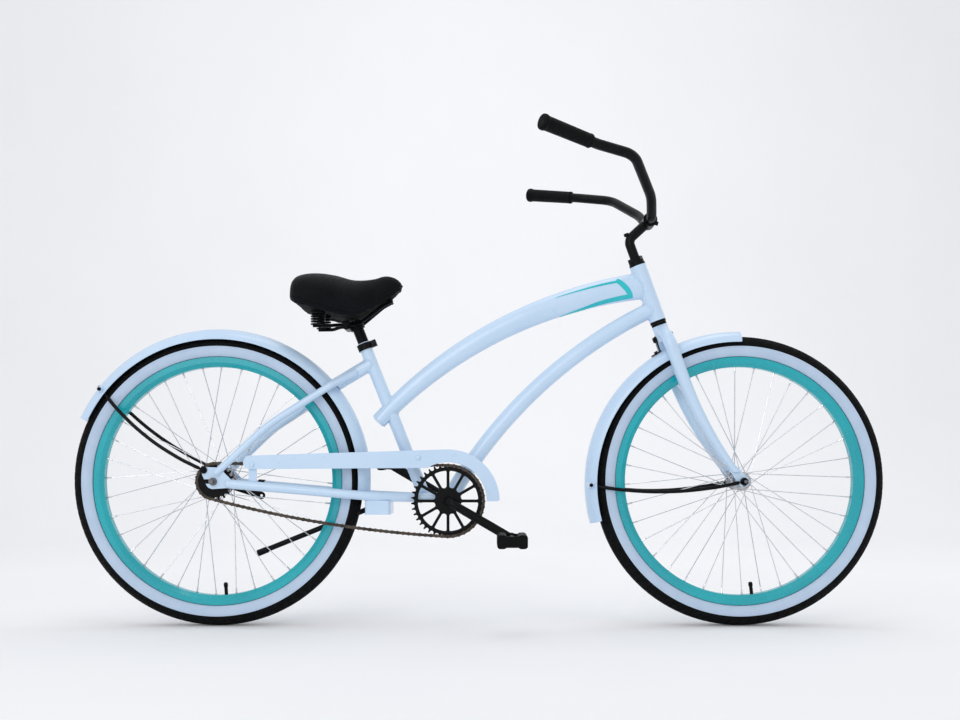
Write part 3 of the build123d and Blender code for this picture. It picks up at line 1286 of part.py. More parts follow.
def spokes(axle, flange_radius, flange_spacing, valve_angle):
    """All of a wheel's spokes; the valve stands midway between two of them."""
    per_flange = SPOKES // 2
    step = 360 / per_flange
    hole_radius = flange_radius - SPOKE_HOLE_INSET
    swing = SPOKE_CROSSINGS * step
    rods = []
    for s in (-1, 1):
        for j in range(per_flange):
            lead = 1 if j % 2 else -1
            rim_angle = valve_angle + step / 4 + j * step + (0 if s > 0 else step / 2)
            hub_angle = rim_angle - lead * swing
            face = FLANGE_THICKNESS / 2 + SPOKE_DIAMETER / 2 + RUNNING_FIT + (1.0 if lead * s > 0 else 0.0)
            start = around(axle, hole_radius, hub_angle, s * flange_spacing / 2 + lead * face)
            end = around(axle, RIM_INNER_RADIUS - 0.6, rim_angle, s * RIM_HOLE_STAGGER + lead * 1.2)
            rods.append(rod(start, end, SPOKE_DIAMETER / 2, SPOKE_SIDES))
    return Compound([solid for piece in rods for solid in piece.solids()])


save(spokes(FRONT_AXLE, FRONT_FLANGE_RADIUS, FRONT_FLANGE_SPACING, FRONT_VALVE_ANGLE), "front_spokes")
save(spokes(REAR_AXLE, REAR_FLANGE_RADIUS, REAR_FLANGE_SPACING, REAR_VALVE_ANGLE), "rear_spokes")


def barrel(axle, start, end, radius):
    """A disc or cylinder about an axle, between two distances to the left of the middle plane."""
    return rod(axle + Y_AXIS * start, axle + Y_AXIS * end, radius)


# Hubs, axles and axle nuts

def end_relief(axle, nut_face, radius):
    """The narrow groove round an axle just outside its nut, where the free end begins."""
    outer = nut_face + (END_RELIEF if nut_face > 0 else -END_RELIEF)
    with BuildPart() as part:
        add(barrel(axle, nut_face, outer, radius + 1))
        add(barrel(axle, nut_face, outer, radius - END_RELIEF_DEPTH), mode=Mode.SUBTRACT)
    return part.part


FRONT_CUP_RADIUS = 15.0
front_hub_end = FRONT_DROPOUT_SPACING / 2 - HUB_END_GAP
with BuildPart() as front_hub:
    add(barrel(FRONT_AXLE, -front_hub_end + 4, front_hub_end - 4, FRONT_BARREL_RADIUS))
    for s in (-1, 1):
        middle = s * FRONT_FLANGE_SPACING / 2
        add(barrel(FRONT_AXLE, middle - FLANGE_THICKNESS / 2, middle + FLANGE_THICKNESS / 2, FRONT_FLANGE_RADIUS))
        add(barrel(FRONT_AXLE, s * (FRONT_FLANGE_SPACING / 2 - 4), s * front_hub_end, FRONT_CUP_RADIUS))
    add(barrel(FRONT_AXLE, -60, 60, FRONT_AXLE_DIAMETER / 2 + 3), mode=Mode.SUBTRACT)
    for s in (-1, 1):
        add(barrel(FRONT_AXLE, s * (front_hub_end - 8), s * 60, FRONT_CUP_RADIUS - 2.5), mode=Mode.SUBTRACT)
save(front_hub.part, "front_hub")

front_half = FRONT_DROPOUT_SPACING / 2
front_outer = fork_face + SKIRT_GAP + EYE_THICKNESS + SKIRT_GAP
front_nut_y = front_outer + WASHER_THICKNESS + SKIRT_GAP
with BuildPart() as front_axle:
    add(barrel(FRONT_AXLE, -(front_nut_y + NUT_THICKNESS + AXLE_END), front_nut_y + NUT_THICKNESS + AXLE_END, FRONT_AXLE_DIAMETER / 2))
    for s in (-1, 1):
        add(barrel(FRONT_AXLE, s * (front_hub_end - 7.5), s * (front_hub_end - 1), FRONT_CUP_RADIUS - 2.5 - RUNNING_FIT))
        add(barrel(FRONT_AXLE, s * (front_hub_end - 2), s * (front_half - 0.1), 8.5))
        add(end_relief(FRONT_AXLE, s * (front_nut_y + NUT_THICKNESS), FRONT_AXLE_DIAMETER / 2), mode=Mode.SUBTRACT)
save(front_axle.part, "front_axle")


def axle_nut(axle, s, washer_at, radius):
    """A washer and a nut, side by side on one end of an axle."""
    with BuildPart() as washer:
        add(barrel(axle, s * washer_at, s * (washer_at + WASHER_THICKNESS), NUT_ACROSS / 2 + 1.5))
        add(barrel(axle, s * 30, s * 120, radius), mode=Mode.SUBTRACT)
    with BuildPart() as nut:
        start = washer_at + WASHER_THICKNESS + SKIRT_GAP
        add(rod(axle + Y_AXIS * (s * start), axle + Y_AXIS * (s * (start + NUT_THICKNESS)), NUT_ACROSS / sqrt(3), 6))
        add(barrel(axle, s * 30, s * 120, radius), mode=Mode.SUBTRACT)
    return [*washer.part.solids(), *nut.part.solids()]


front_nuts = [axle_nut(FRONT_AXLE, s, front_outer, FRONT_AXLE_DIAMETER / 2) for s in (-1, 1)]
save(Compound([*front_nuts[0], *front_nuts[1]]), "front_axle_nuts")

REAR_HUB_LEFT = 44.0
REAR_HUB_RIGHT = 39.0
DRIVER_RADIUS = 18.0
REAR_BORE = 8.0
BRAKE_ARM_THICKNESS = 3.0
rear_half = REAR_DROPOUT_SPACING / 2
with BuildPart() as rear_hub:
    add(barrel(REAR_AXLE, -REAR_FLANGE_SPACING / 2, REAR_FLANGE_SPACING / 2, REAR_BARREL_RADIUS))
    add(barrel(REAR_AXLE, -REAR_HUB_RIGHT, 0, DRIVER_RADIUS + 5))
    add(barrel(REAR_AXLE, 0, REAR_HUB_LEFT, DRIVER_RADIUS + 5))
    for s in (-1, 1):
        middle = s * REAR_FLANGE_SPACING / 2
        add(barrel(REAR_AXLE, middle - FLANGE_THICKNESS / 2, middle + FLANGE_THICKNESS / 2, REAR_FLANGE_RADIUS))
    add(barrel(REAR_AXLE, -70, 70, REAR_BORE), mode=Mode.SUBTRACT)
    add(barrel(REAR_AXLE, -REAR_HUB_RIGHT + 10, -70, DRIVER_RADIUS), mode=Mode.SUBTRACT)
    add(barrel(REAR_AXLE, REAR_HUB_LEFT - 6, 70, DRIVER_RADIUS), mode=Mode.SUBTRACT)
save(rear_hub.part, "rear_hub")

rear_outer = rear_half + DROPOUT_THICKNESS + SKIRT_GAP
left_cone_end = rear_half - BRAKE_ARM_THICKNESS - 0.2
with BuildPart() as rear_axle:
    rear_tip = rear_outer + WASHER_THICKNESS + SKIRT_GAP + NUT_THICKNESS + AXLE_END
    add(barrel(REAR_AXLE, -rear_tip, rear_tip, REAR_AXLE_DIAMETER / 2))
    add(barrel(REAR_AXLE, REAR_HUB_LEFT - 5.5, REAR_HUB_LEFT + 1, DRIVER_RADIUS - RUNNING_FIT))
    add(barrel(REAR_AXLE, REAR_HUB_LEFT, left_cone_end, 12))
    add(barrel(REAR_AXLE, -52, -rear_half + 0.1, 9))
    for s in (-1, 1):
        add(end_relief(REAR_AXLE, s * (rear_tip - AXLE_END), REAR_AXLE_DIAMETER / 2), mode=Mode.SUBTRACT)
save(rear_axle.part, "rear_axle")
rear_nuts = [axle_nut(REAR_AXLE, s, rear_outer, REAR_AXLE_DIAMETER / 2) for s in (-1, 1)]
save(Compound([*rear_nuts[0], *rear_nuts[1]]), "rear_axle_nuts")


# Sprockets: a disc to the tooth tips, less a pocket for each roller

def toothed(teeth, pitch_radius, phase):
    """A sprocket's outline: pockets that fit the rollers open outward between tapering teeth."""
    pocket = ROLLER_DIAMETER / 2 + TOOTH_CLEARANCE
    tip = pitch_radius + CHAIN_PITCH * 0.27
    with BuildSketch(Plane.XY) as outline:
        Circle(tip)
        with PolarLocations(pitch_radius, teeth, start_angle=phase):
            Circle(pocket, mode=Mode.SUBTRACT)
            with Locations((pocket * 0.75, 0)):
                Trapezoid(pocket * 3.5, pocket * 1.65, 62, rotation=90, mode=Mode.SUBTRACT)
    return outline.sketch


with BuildPart() as rear_sprocket:
    with BuildSketch(side(-CHAIN_LINE, REAR_AXLE.X, REAR_AXLE.Z)):
        add(toothed(SPROCKET_TEETH, sprocket_radius, sprocket_phase))
    extrude(amount=TOOTH_THICKNESS / 2, both=True)
    add(barrel(REAR_AXLE, -CHAIN_LINE - 5, -REAR_HUB_RIGHT + 9.5, DRIVER_RADIUS - RUNNING_FIT))
    add(barrel(REAR_AXLE, -70, 0, REAR_AXLE_DIAMETER / 2 + RUNNING_FIT), mode=Mode.SUBTRACT)
save(rear_sprocket.part, "rear_sprocket")

PIN_RING_RADIUS = 68.0
PIN_RADIUS = 3.5
WINDOW_INNER_ROUND = 7.0
WINDOW_OUTER_ROUND = 11.0
spindle_radius = SPINDLE_DIAMETER / 2
window_step = 360 / WINDOWS
with BuildPart() as chainring:
    with BuildSketch(side(-CHAIN_LINE, BRACKET.X, BRACKET.Z)):
        add(toothed(CHAINRING_TEETH, ring_radius, ring_phase))
        Circle(spindle_radius + RUNNING_FIT, mode=Mode.SUBTRACT)
        pin_at = around(Vector(0, 0, 0), PIN_RING_RADIUS, CRANK_ANGLE)
        with Locations((pin_at.X, pin_at.Z)):
            Circle(PIN_RADIUS + RUNNING_FIT, mode=Mode.SUBTRACT)
    extrude(amount=TOOTH_THICKNESS / 2, both=True)
    for k in range(WINDOWS):
        with BuildSketch(side(-CHAIN_LINE, BRACKET.X, BRACKET.Z)):
            with PolarLocations(0, 1, start_angle=CRANK_ANGLE + window_step * (k + 0.5)):
                with Locations((WINDOW_INNER_RADIUS + WINDOW_INNER_ROUND, 0)):
                    Circle(WINDOW_INNER_ROUND)
                with Locations((WINDOW_OUTER_RADIUS - WINDOW_OUTER_ROUND, 0)):
                    Circle(WINDOW_OUTER_ROUND)
            make_hull()
        extrude(amount=TOOTH_THICKNESS, both=True, mode=Mode.SUBTRACT)
save(chainring.part, "chainring")

# Roller chain: inner links carry the rollers, outer links carry the pins

PLATE_SIDES = 8
inner_half = INNER_WIDTH / 2
outer_plate_at = inner_half + PLATE_THICKNESS + LINK_CLEARANCE
PIN_HEAD = 0.8
PIN_HEAD_RADIUS = 1.9


def link_plate(start_y, thickness):
    """A waisted plate one pitch long, on a plane whose origin is midway between two pins."""
    with BuildPart() as plate:
        with BuildSketch(Plane.XY.offset(start_y)):
            with Locations((-CHAIN_PITCH / 2, 0), (CHAIN_PITCH / 2, 0)):
                RegularPolygon(PLATE_HEIGHT / 2, PLATE_SIDES)
            Rectangle(CHAIN_PITCH, PLATE_HEIGHT * 0.7)
        extrude(amount=thickness)
    return plate.part


with BuildPart() as inner_link:
    for s in (-1, 1):
        add(link_plate(inner_half if s > 0 else -inner_half - PLATE_THICKNESS, PLATE_THICKNESS))
    for x in (-CHAIN_PITCH / 2, CHAIN_PITCH / 2):
        add(rod((x, 0, -inner_half - 0.5), (x, 0, inner_half + 0.5), ROLLER_DIAMETER / 2, 12))
with BuildPart() as outer_link:
    for s in (-1, 1):
        add(link_plate(outer_plate_at if s > 0 else -outer_plate_at - PLATE_THICKNESS, PLATE_THICKNESS))
        face = outer_plate_at + PLATE_THICKNESS
        for x in (-CHAIN_PITCH / 2, CHAIN_PITCH / 2):
            add(rod((x, 0, s * (face - 0.4)), (x, 0, s * (face + PIN_HEAD)), PIN_HEAD_RADIUS, 6))

chain_solids = []
for i, pin in enumerate(pins):
    after = pins[(i + 1) % len(pins)]
    place = Plane(origin=(pin + after) * 0.5, x_dir=after - pin, z_dir=(0, -1, 0)).location
    link = inner_link if i % 2 else outer_link
    chain_solids += [solid.moved(place) for solid in link.part.solids()]
save(Compound(chain_solids), "chain")

# Bottom bracket cups, and the bearings and nuts that turn with the crank

CUP_BORE = 20.0
CUP_FLANGE = 3.0
shell_half = BRACKET_SHELL_WIDTH / 2


def bracket_ring(start, end, outer, inner, sides=0):
    with BuildPart() as part:
        add(rod(BRACKET + Y_AXIS * start, BRACKET + Y_AXIS * end, outer, sides))
        add(rod(BRACKET + Y_AXIS * (start - (end - start)), BRACKET + Y_AXIS * (2 * end - start), inner), mode=Mode.SUBTRACT)
    return part.part


cup_solids = []
for s in (-1, 1):
    with BuildPart() as cup:
        add(bracket_ring(s * (shell_half - 10), s * shell_half, shell_bore, CUP_BORE))
        add(bracket_ring(s * shell_half, s * (shell_half + CUP_FLANGE), BRACKET_SHELL_DIAMETER / 2 - 0.5, CUP_BORE))
    cup_solids += cup.part.solids()
save(Compound(cup_solids), "bracket_cups")

ring_back = CHAIN_LINE - TOOTH_THICKNESS / 2
right_bearing = bracket_ring(-shell_half + 6, -shell_half - 4, CUP_BORE - RUNNING_FIT, spindle_radius)
left_bearing = bracket_ring(shell_half - 6, shell_half + 4, CUP_BORE - RUNNING_FIT, spindle_radius)
right_spacer = bracket_ring(-shell_half - 4.1, -ring_back + 0.1, 15, spindle_radius)
left_nut = bracket_ring(shell_half + 4.1, shell_half + 11, 18, spindle_radius, 6)
bearing_solids = [right_bearing, left_bearing, right_spacer, left_nut]
save(Compound([solid for piece in bearing_solids for solid in piece.solids()]), "crank_bearings")

# Crank: one forging, with a spindle between two arms and a lug that drives the chainring by a pin

ELBOW_RADIUS = 17.0
ELBOW_BAR = 9.5
ARM_START = 24.0
LUG_RADIUS = 68.0
LUG_LENGTH = 14.0
LUG_WIDTH = 15.0
ring_face = CHAIN_LINE + TOOTH_THICKNESS / 2
arm_slope = (ARM_END_OFFSET - ARM_ROOT_OFFSET) / CRANK_LENGTH


def arm_offset(along):
    return ARM_ROOT_OFFSET + arm_slope * along


def crank_arm(s):
    """One arm on its side: s is 1 on the right and -1 on the left."""
    along = around(Vector(0, 0, 0), 1, CRANK_ANGLE if s > 0 else CRANK_ANGLE + 180)
    out = Y_AXIS * -s
    frame = Plane(origin=BRACKET, x_dir=along, z_dir=along.cross(out))
    with BuildPart() as arm:
        with BuildLine(frame) as elbow:
            FilletPolyline((0, 40), (0, ARM_ROOT_OFFSET), (ARM_START, arm_offset(ARM_START)), radius=ELBOW_RADIUS)
        with BuildSketch(Plane(origin=elbow.line @ 0, z_dir=elbow.line % 0)):
            Circle(ELBOW_BAR)
        sweep(path=elbow.line)
        end_dir = elbow.line % 1
        across = end_dir.cross(frame.z_dir)
        for at, wide, thick in (
            (ARM_START, ELBOW_BAR, ELBOW_BAR),
            (62, ARM_WIDTH / 2, ARM_THICKNESS / 2 + 1),
            (CRANK_LENGTH - 3, ARM_WIDTH / 2, ARM_THICKNESS / 2),
        ):
            place = BRACKET + along * at + out * arm_offset(at)
            with BuildSketch(Plane(origin=place, x_dir=frame.z_dir, z_dir=end_dir)):
                Ellipse(wide, thick)
        loft()
        add(rod(BRACKET, BRACKET + out * 46.5, spindle_radius))
        boss = BRACKET + along * CRANK_LENGTH
        add(rod(boss + out * (ARM_END_OFFSET - 7), boss + out * (ARM_END_OFFSET + 7), PEDAL_BOSS_RADIUS))
        if s > 0:
            lug_length = arm_offset(LUG_RADIUS) - ring_face - SEAT_GAP
            lug_at = BRACKET + along * LUG_RADIUS + out * (ring_face + SEAT_GAP)
            with BuildSketch(Plane(origin=lug_at, x_dir=along, z_dir=out)):
                RectangleRounded(LUG_LENGTH, LUG_WIDTH, 3)
            extrude(amount=lug_length)
            pin_from = BRACKET + along * PIN_RING_RADIUS
            add(rod(pin_from + out * (ring_back - 1), pin_from + out * (ring_face + 6), PIN_RADIUS))
        add(rod(boss + out * 60, boss + out * 100, PEDAL_THREAD_DIAMETER / 2), mode=Mode.SUBTRACT)
    return arm.part


with BuildPart() as crank:
    add(crank_arm(1))
    add(crank_arm(-1))
save(crank.part, "crank")

# Pedals: an axle in each crank boss, a barrel with end plates on it, and a tread block before and behind

BOSS_HALF = 7.0
PEDAL_START = 95.0
PEDAL_BORE = 4.6
PEDAL_PLATE = 4.0
BLOCK_ROUND = 7.0
pedal_end = PEDAL_START + PEDAL_WIDTH


def pedal_place(s):
    return around(BRACKET, CRANK_LENGTH, CRANK_ANGLE if s > 0 else CRANK_ANGLE + 180)


def pedal_axle(s):
    at = pedal_place(s)
    out = Y_AXIS * -s
    with BuildPart() as part:
        add(rod(at + out * (ARM_END_OFFSET - BOSS_HALF), at + out * (ARM_END_OFFSET + BOSS_HALF), PEDAL_THREAD_DIAMETER / 2))
        add(rod(at + out * (ARM_END_OFFSET + BOSS_HALF + 0.1), at + out * (PEDAL_START - 0.3), 9.0, 6))
        add(rod(at + out * ARM_END_OFFSET, at + out * (pedal_end - 6), PEDAL_BORE - RUNNING_FIT))
    return part.part


def pedal(s):
    at = pedal_place(s)
    out = Y_AXIS * -s
    with BuildPart() as part:
        add(rod(at + out * PEDAL_START, at + out * pedal_end, 9.5))
        for start in (PEDAL_START, pedal_end - PEDAL_PLATE):
            with BuildSketch(Plane(origin=at + out * start, x_dir=(1, 0, 0), z_dir=out)):
                RectangleRounded(PEDAL_LENGTH - 4, PEDAL_HEIGHT - 6, 8)
            extrude(amount=PEDAL_PLATE)
        for f in (-1, 1):
            block = at + out * (PEDAL_START + PEDAL_PLATE - 1) + Vector(f * (PEDAL_LENGTH - PEDAL_BLOCK_DEPTH) / 2, 0, 0)
            with BuildSketch(Plane(origin=block, x_dir=(1, 0, 0), z_dir=out)):
                RectangleRounded(PEDAL_BLOCK_DEPTH, PEDAL_HEIGHT, BLOCK_ROUND)
            extrude(amount=PEDAL_WIDTH - 2 * PEDAL_PLATE + 2)
        add(rod(at + out * (PEDAL_START - 5), at + out * (pedal_end - 5), PEDAL_BORE), mode=Mode.SUBTRACT)
    return part.part


save(Compound([*pedal_axle(1).solids(), *pedal_axle(-1).solids()]), "pedal_axles")
save(pedal(1), "right_pedal")
save(pedal(-1), "left_pedal")

# Coaster brake arm: from the left end of the rear axle to a strap round the left chain stay

BRAKE_END = Vector(-512, 0, 297)
BRAKE_ARM_Y = rear_half - BRAKE_ARM_THICKNESS - 0.1
BRAKE_WIDTH = 17.0
strap_axis = (stay_points[1] - stay_rear).normalized()
strap_centre = stay_rear + strap_axis * ((BRAKE_END.X - stay_rear.X) / strap_axis.X)
with BuildPart() as brake_arm:
    with BuildSketch(side(BRAKE_ARM_Y + BRAKE_ARM_THICKNESS)):
        with Locations((REAR_X, AXLE_HEIGHT)):
            Circle(15)
        with Locations((BRAKE_END.X, BRAKE_END.Z)):
            Circle(BRAKE_WIDTH / 2)
        make_hull()
    extrude(amount=BRAKE_ARM_THICKNESS)
    add(barrel(REAR_AXLE, 30, 80, REAR_AXLE_DIAMETER / 2 + 0.05), mode=Mode.SUBTRACT)
    with Locations(side(BRAKE_ARM_Y, BRAKE_END.X, BRAKE_END.Z)):
        Cylinder(3.1, 20, mode=Mode.SUBTRACT)
    add(rod(stay_rear, stay_points[1], CHAIN_STAY_DIAMETER / 2 + 0.3), mode=Mode.SUBTRACT)
save(brake_arm.part.solids().sort_by(SortBy.VOLUME)[-1], "brake_arm")

with BuildPart() as brake_strap:
    strap_plane = Plane(origin=strap_centre - strap_axis * 7, z_dir=strap_axis)
    with BuildSketch(strap_plane):
        Circle(CHAIN_STAY_DIAMETER / 2 + 1.7)
        Circle(CHAIN_STAY_DIAMETER / 2 + RUNNING_FIT, mode=Mode.SUBTRACT)
    extrude(amount=14)
    add(brake_arm.part, mode=Mode.SUBTRACT)
save(brake_strap.part.solids().sort_by(SortBy.VOLUME)[-1], "brake_strap")

# Kickstand: a boss on the slanted pivot, a leg and a rubber tip

with BuildPart() as kickstand:
    add(rod(pivot + pivot_axis * SKIRT_GAP, pivot + pivot_axis * PIVOT_BOSS_LENGTH, PIVOT_BOSS_RADIUS))
    leg_root = pivot + pivot_axis * (PIVOT_BOSS_LENGTH / 2)
    add(rod(leg_root, stowed_foot, KICKSTAND_DIAMETER / 2))
    leg_line = (stowed_foot - leg_root).normalized()
    add(rod(stowed_foot - leg_line * 22, stowed_foot + leg_line * 3, KICKSTAND_DIAMETER / 2 + 1.5))
    add(rod(pivot - pivot_axis * 30, pivot + pivot_axis * 30, PIVOT_RADIUS + RUNNING_FIT), mode=Mode.SUBTRACT)
    add(rod(pivot - pivot_axis * 10, pivot + pivot_axis * SKIRT_GAP, PIVOT_BOSS_RADIUS + 3), mode=Mode.SUBTRACT)
    add(rod(pivot + pivot_axis * PIVOT_BOSS_LENGTH, pivot + pivot_axis * 22, PIVOT_HEAD + 0.6), mode=Mode.SUBTRACT)
save(kickstand.part.solids().sort_by(SortBy.VOLUME)[-1], "kickstand")

# Seat post, the collar round the seat tube's top and the saddle's clamp

POST_TOP_HEIGHT = 701.0
POST_WALL = 2.0
COLLAR_HEIGHT = 15.0
COLLAR_WALL = 3.2
EAR_REACH = 26.0
EAR_HALF = 8.0
EAR_SLOT = 1.5
post_radius = SEAT_POST_DIAMETER / 2
tube_radius = SEAT_TUBE_DIAMETER / 2
seat_front = SEAT_UP.cross(Y_AXIS) * -1

with BuildPart() as seat_post:
    with BuildSketch(Plane(origin=seat(POST_TOP_HEIGHT).origin, z_dir=SEAT_UP * -1)):
        Circle(post_radius)
        Circle(post_radius - POST_WALL, mode=Mode.SUBTRACT)
    extrude(amount=SEAT_POST_LENGTH)
save(seat_post.part, "seat_post")

collar_base = seat(SEAT_TUBE_HEIGHT - 1 - COLLAR_HEIGHT)
with BuildPart() as seat_collar:
    with BuildSketch(collar_base):
        Circle(tube_radius + COLLAR_WALL)
        with Locations((EAR_REACH / 2 + 2, 0)):
            RectangleRounded(EAR_REACH, 2 * EAR_HALF, 2)
        Circle(tube_radius + RUNNING_FIT, mode=Mode.SUBTRACT)
        with Locations((tube_radius + 8, 0)):
            Rectangle(24, 2 * EAR_SLOT, mode=Mode.SUBTRACT)
    extrude(amount=COLLAR_HEIGHT)
    ear = collar_base.origin + SEAT_UP * (COLLAR_HEIGHT / 2) + seat_front * (tube_radius + 7.5)
    add(rod(ear - Y_AXIS * 20, ear + Y_AXIS * 20, 3.1), mode=Mode.SUBTRACT)
with BuildPart() as collar_bolt:
    add(rod(ear - Y_AXIS * (EAR_HALF + 4), ear + Y_AXIS * (EAR_HALF + 4), 3.0))
    add(rod(ear - Y_AXIS * (EAR_HALF + 4), ear - Y_AXIS * (EAR_HALF + 0.1), 5.5, 6))
    add(rod(ear + Y_AXIS * (EAR_HALF + 0.1), ear + Y_AXIS * (EAR_HALF + 4), 5.5, 6))
save(Compound([*seat_collar.part.solids(), *collar_bolt.part.solids()]), "seat_collar")

RAIL_RADIUS = 4.0
RAIL_OFFSET = 21.0
CLAMP_DISC_RADIUS = 11.0
CLAMP_SETBACK = 21.0
CLAMP_HALF = 27.0
clamp_at = seat(SEAT_CLAMP_HEIGHT).origin
disc_at = clamp_at + Vector(-CLAMP_SETBACK, 0, 0)
with BuildPart() as saddle_clamp:
    add(rod(clamp_at - SEAT_UP * 9, clamp_at + SEAT_UP * 9, post_radius + 4))
    add(rod(disc_at - Y_AXIS * CLAMP_HALF, disc_at + Y_AXIS * CLAMP_HALF, CLAMP_DISC_RADIUS))
    add(rod(seat(BRACKET_HEIGHT).origin, seat(POST_TOP_HEIGHT + 40).origin, post_radius + RUNNING_FIT), mode=Mode.SUBTRACT)
    for s in (-1, 1):
        rail_line = disc_at + Y_AXIS * (s * RAIL_OFFSET)
        add(rod(rail_line - Vector(30, 0, 0), rail_line + Vector(30, 0, 0), RAIL_RADIUS + RUNNING_FIT), mode=Mode.SUBTRACT)
clamp_body = saddle_clamp.part.solids().sort_by(SortBy.VOLUME)[-1]
clamp_nuts = [
    rod(disc_at + Y_AXIS * (s * (CLAMP_HALF + 0.1)), disc_at + Y_AXIS * (s * (CLAMP_HALF + 7)), 8, 6) for s in (-1, 1)
]
save(Compound([clamp_body, *[solid for nut in clamp_nuts for solid in nut.solids()]]), "saddle_clamp")

# Saddle: sections across it, from the tail to the nose, give the cushion and the pan under it

TAIL_X = -427.7
# Each section: how far ahead of the tail, half width, height of the edge, height of the crown
saddle_sections = [
    (1.7, 78.0, 744.0, 788.0),
    (16.0, 106.0, 737.0, 805.0),
    (52.0, 125.0, 728.0, SADDLE_TOP),
    (98.0, 117.0, 716.0, 807.0),
    (142.0, 84.0, 709.0, 797.0),
    (180.0, 54.0, 727.0, 800.0),
    (212.0, 38.0, 749.0, 808.0),
    (236.0, 27.0, 765.0, 803.0),
    (SADDLE_LENGTH, 14.0, 776.0, 787.0),
]
CROWN_FALL = 0.22
EDGE_TUCK = 0.1
PAN_THICKNESS = 3.0
PAN_INSET = 9.0


def saddle_shape(section):
    """A cushion's section: a flat underside, sides that swell out and a crowned top."""
    ahead, half, edge, crown = section
    height = crown - edge
    shoulder = crown - height * CROWN_FALL - half * 0.06
    with BuildSketch(Plane(origin=(TAIL_X + ahead, 0, 0), x_dir=(0, 1, 0), z_dir=(1, 0, 0))) as face:
        with BuildLine():
            tucked = half * (1 - EDGE_TUCK)
            Line((-tucked, edge), (tucked, edge))
            ThreePointArc((tucked, edge), (half, (edge + shoulder) / 2), (half * 0.88, shoulder))
            ThreePointArc((half * 0.88, shoulder), (0, crown), (-half * 0.88, shoulder))
            ThreePointArc((-half * 0.88, shoulder), (-half, (edge + shoulder) / 2), (-tucked, edge))
        make_face()
    return face.sketch


def pan_shape(section):
    ahead, half, edge, _ = section
    with BuildSketch(Plane(origin=(TAIL_X + ahead, 0, 0), x_dir=(0, 1, 0), z_dir=(1, 0, 0))) as face:
        with Locations((0, edge - PAN_GAP - PAN_THICKNESS / 2)):
            Rectangle(2 * half * (1 - EDGE_TUCK) - PAN_INSET, PAN_THICKNESS)
    return face.sketch


SPRING_X = -364.0
SPRING_OUT = 45.0
SPRING_FOOT_Z = 690.0
SPRING_CAP_Z = 720.0
SPRING_PLATE = 2.5
rail_points = [
    Vector(-199, 9, 746),
    Vector(-222, 13, 734),
    Vector(disc_at.X + 26, RAIL_OFFSET, disc_at.Z),
    Vector(disc_at.X - 18, RAIL_OFFSET, disc_at.Z),
    Vector(SPRING_X + 22, SPRING_OUT - 4, SPRING_FOOT_Z - RAIL_RADIUS),
    Vector(SPRING_X - 12, SPRING_OUT, SPRING_FOOT_Z - RAIL_RADIUS),
]
rail_bends = [20, 26, 14, 14]
NOSE_BLOCK_AT = Vector(-205.5, 0, 745.9)
NOSE_BLOCK_LENGTH = 13.0
NOSE_BLOCK_WIDTH = 32.0
NOSE_BLOCK_HEIGHT = 9.4
PAN_GAP = 0.5

with BuildPart() as saddle_cushion:
    for section in saddle_sections:
        add(saddle_shape(section))
    loft()
save(saddle_cushion.part, "saddle_cushion")
with BuildPart() as saddle_base:
    for section in saddle_sections[1:-1]:
        add(pan_shape(section))
    loft()
    with Locations(NOSE_BLOCK_AT):
        Box(NOSE_BLOCK_LENGTH, NOSE_BLOCK_WIDTH, NOSE_BLOCK_HEIGHT)
    for s in (-1, 1):
        cap = Vector(SPRING_X, s * SPRING_OUT, SPRING_CAP_Z)
        add(rod(cap - Vector(0, 0, SPRING_PLATE), cap + Vector(0, 0, 1), SPRING_DIAMETER / 2))
    add(bent(rail_points, rail_bends, RAIL_RADIUS + RUNNING_FIT), mode=Mode.SUBTRACT)
    add(bent(rail_points, rail_bends, RAIL_RADIUS + RUNNING_FIT).mirror(Plane.XZ), mode=Mode.SUBTRACT)
save(saddle_base.part.solids().sort_by(SortBy.VOLUME)[-1], "saddle_base")

# Saddle rails: from the nose through the clamp to a foot under each spring

with BuildPart() as saddle_rail:
    add(bent(rail_points, rail_bends, RAIL_RADIUS))
    foot = Vector(SPRING_X, SPRING_OUT, SPRING_FOOT_Z)
    add(rod(foot - Vector(0, 0, SPRING_PLATE), foot, SPRING_DIAMETER / 2))
save(mirrored(saddle_rail.part), "saddle_rails")


# Saddle springs: each one bar wound round a steady axis, on two tangent arcs to a quarter turn

coil_radius = (SPRING_DIAMETER - SPRING_WIRE) / 2
coil_low = SPRING_FOOT_Z + SPRING_WIRE / 2 + SKIRT_GAP
coil_high = SPRING_CAP_Z - SPRING_PLATE - SPRING_WIRE / 2 - SKIRT_GAP
coil_pitch = (coil_high - coil_low) / SPRING_COILS


def coil_point(turns):
    a = 2 * pi * turns
    return Vector(SPRING_X + coil_radius * cos(a), SPRING_OUT + coil_radius * sin(a), coil_low + coil_pitch * turns)


def coil_heading(turns):
    a = 2 * pi * turns
    return Vector(-sin(a) * 2 * pi * coil_radius, cos(a) * 2 * pi * coil_radius, coil_pitch).normalized()


def biarc(start, start_way, end, end_way):
    """Two arcs that leave a point and reach another in given directions, and meet smoothly."""
    span = end - start
    ways = start_way + end_way
    bend = 2 * (1 - start_way.dot(end_way))
    reach = (sqrt(span.dot(ways) ** 2 + bend * span.dot(span)) - span.dot(ways)) / bend
    meet = (start + start_way * reach + end - end_way * reach) * 0.5
    first = TangentArc(start, meet, tangent=start_way)
    TangentArc(meet, end, tangent=first % 1)


with BuildPart() as spring:
    with BuildLine() as coil:
        for i in range(4 * SPRING_COILS):
            biarc(coil_point(i / 4), coil_heading(i / 4), coil_point((i + 1) / 4), coil_heading((i + 1) / 4))
    with BuildSketch(Plane(origin=coil.line @ 0, z_dir=coil.line % 0)):
        Circle(SPRING_WIRE / 2)
    sweep(path=coil.line)
save(mirrored(spring.part), "saddle_springs")

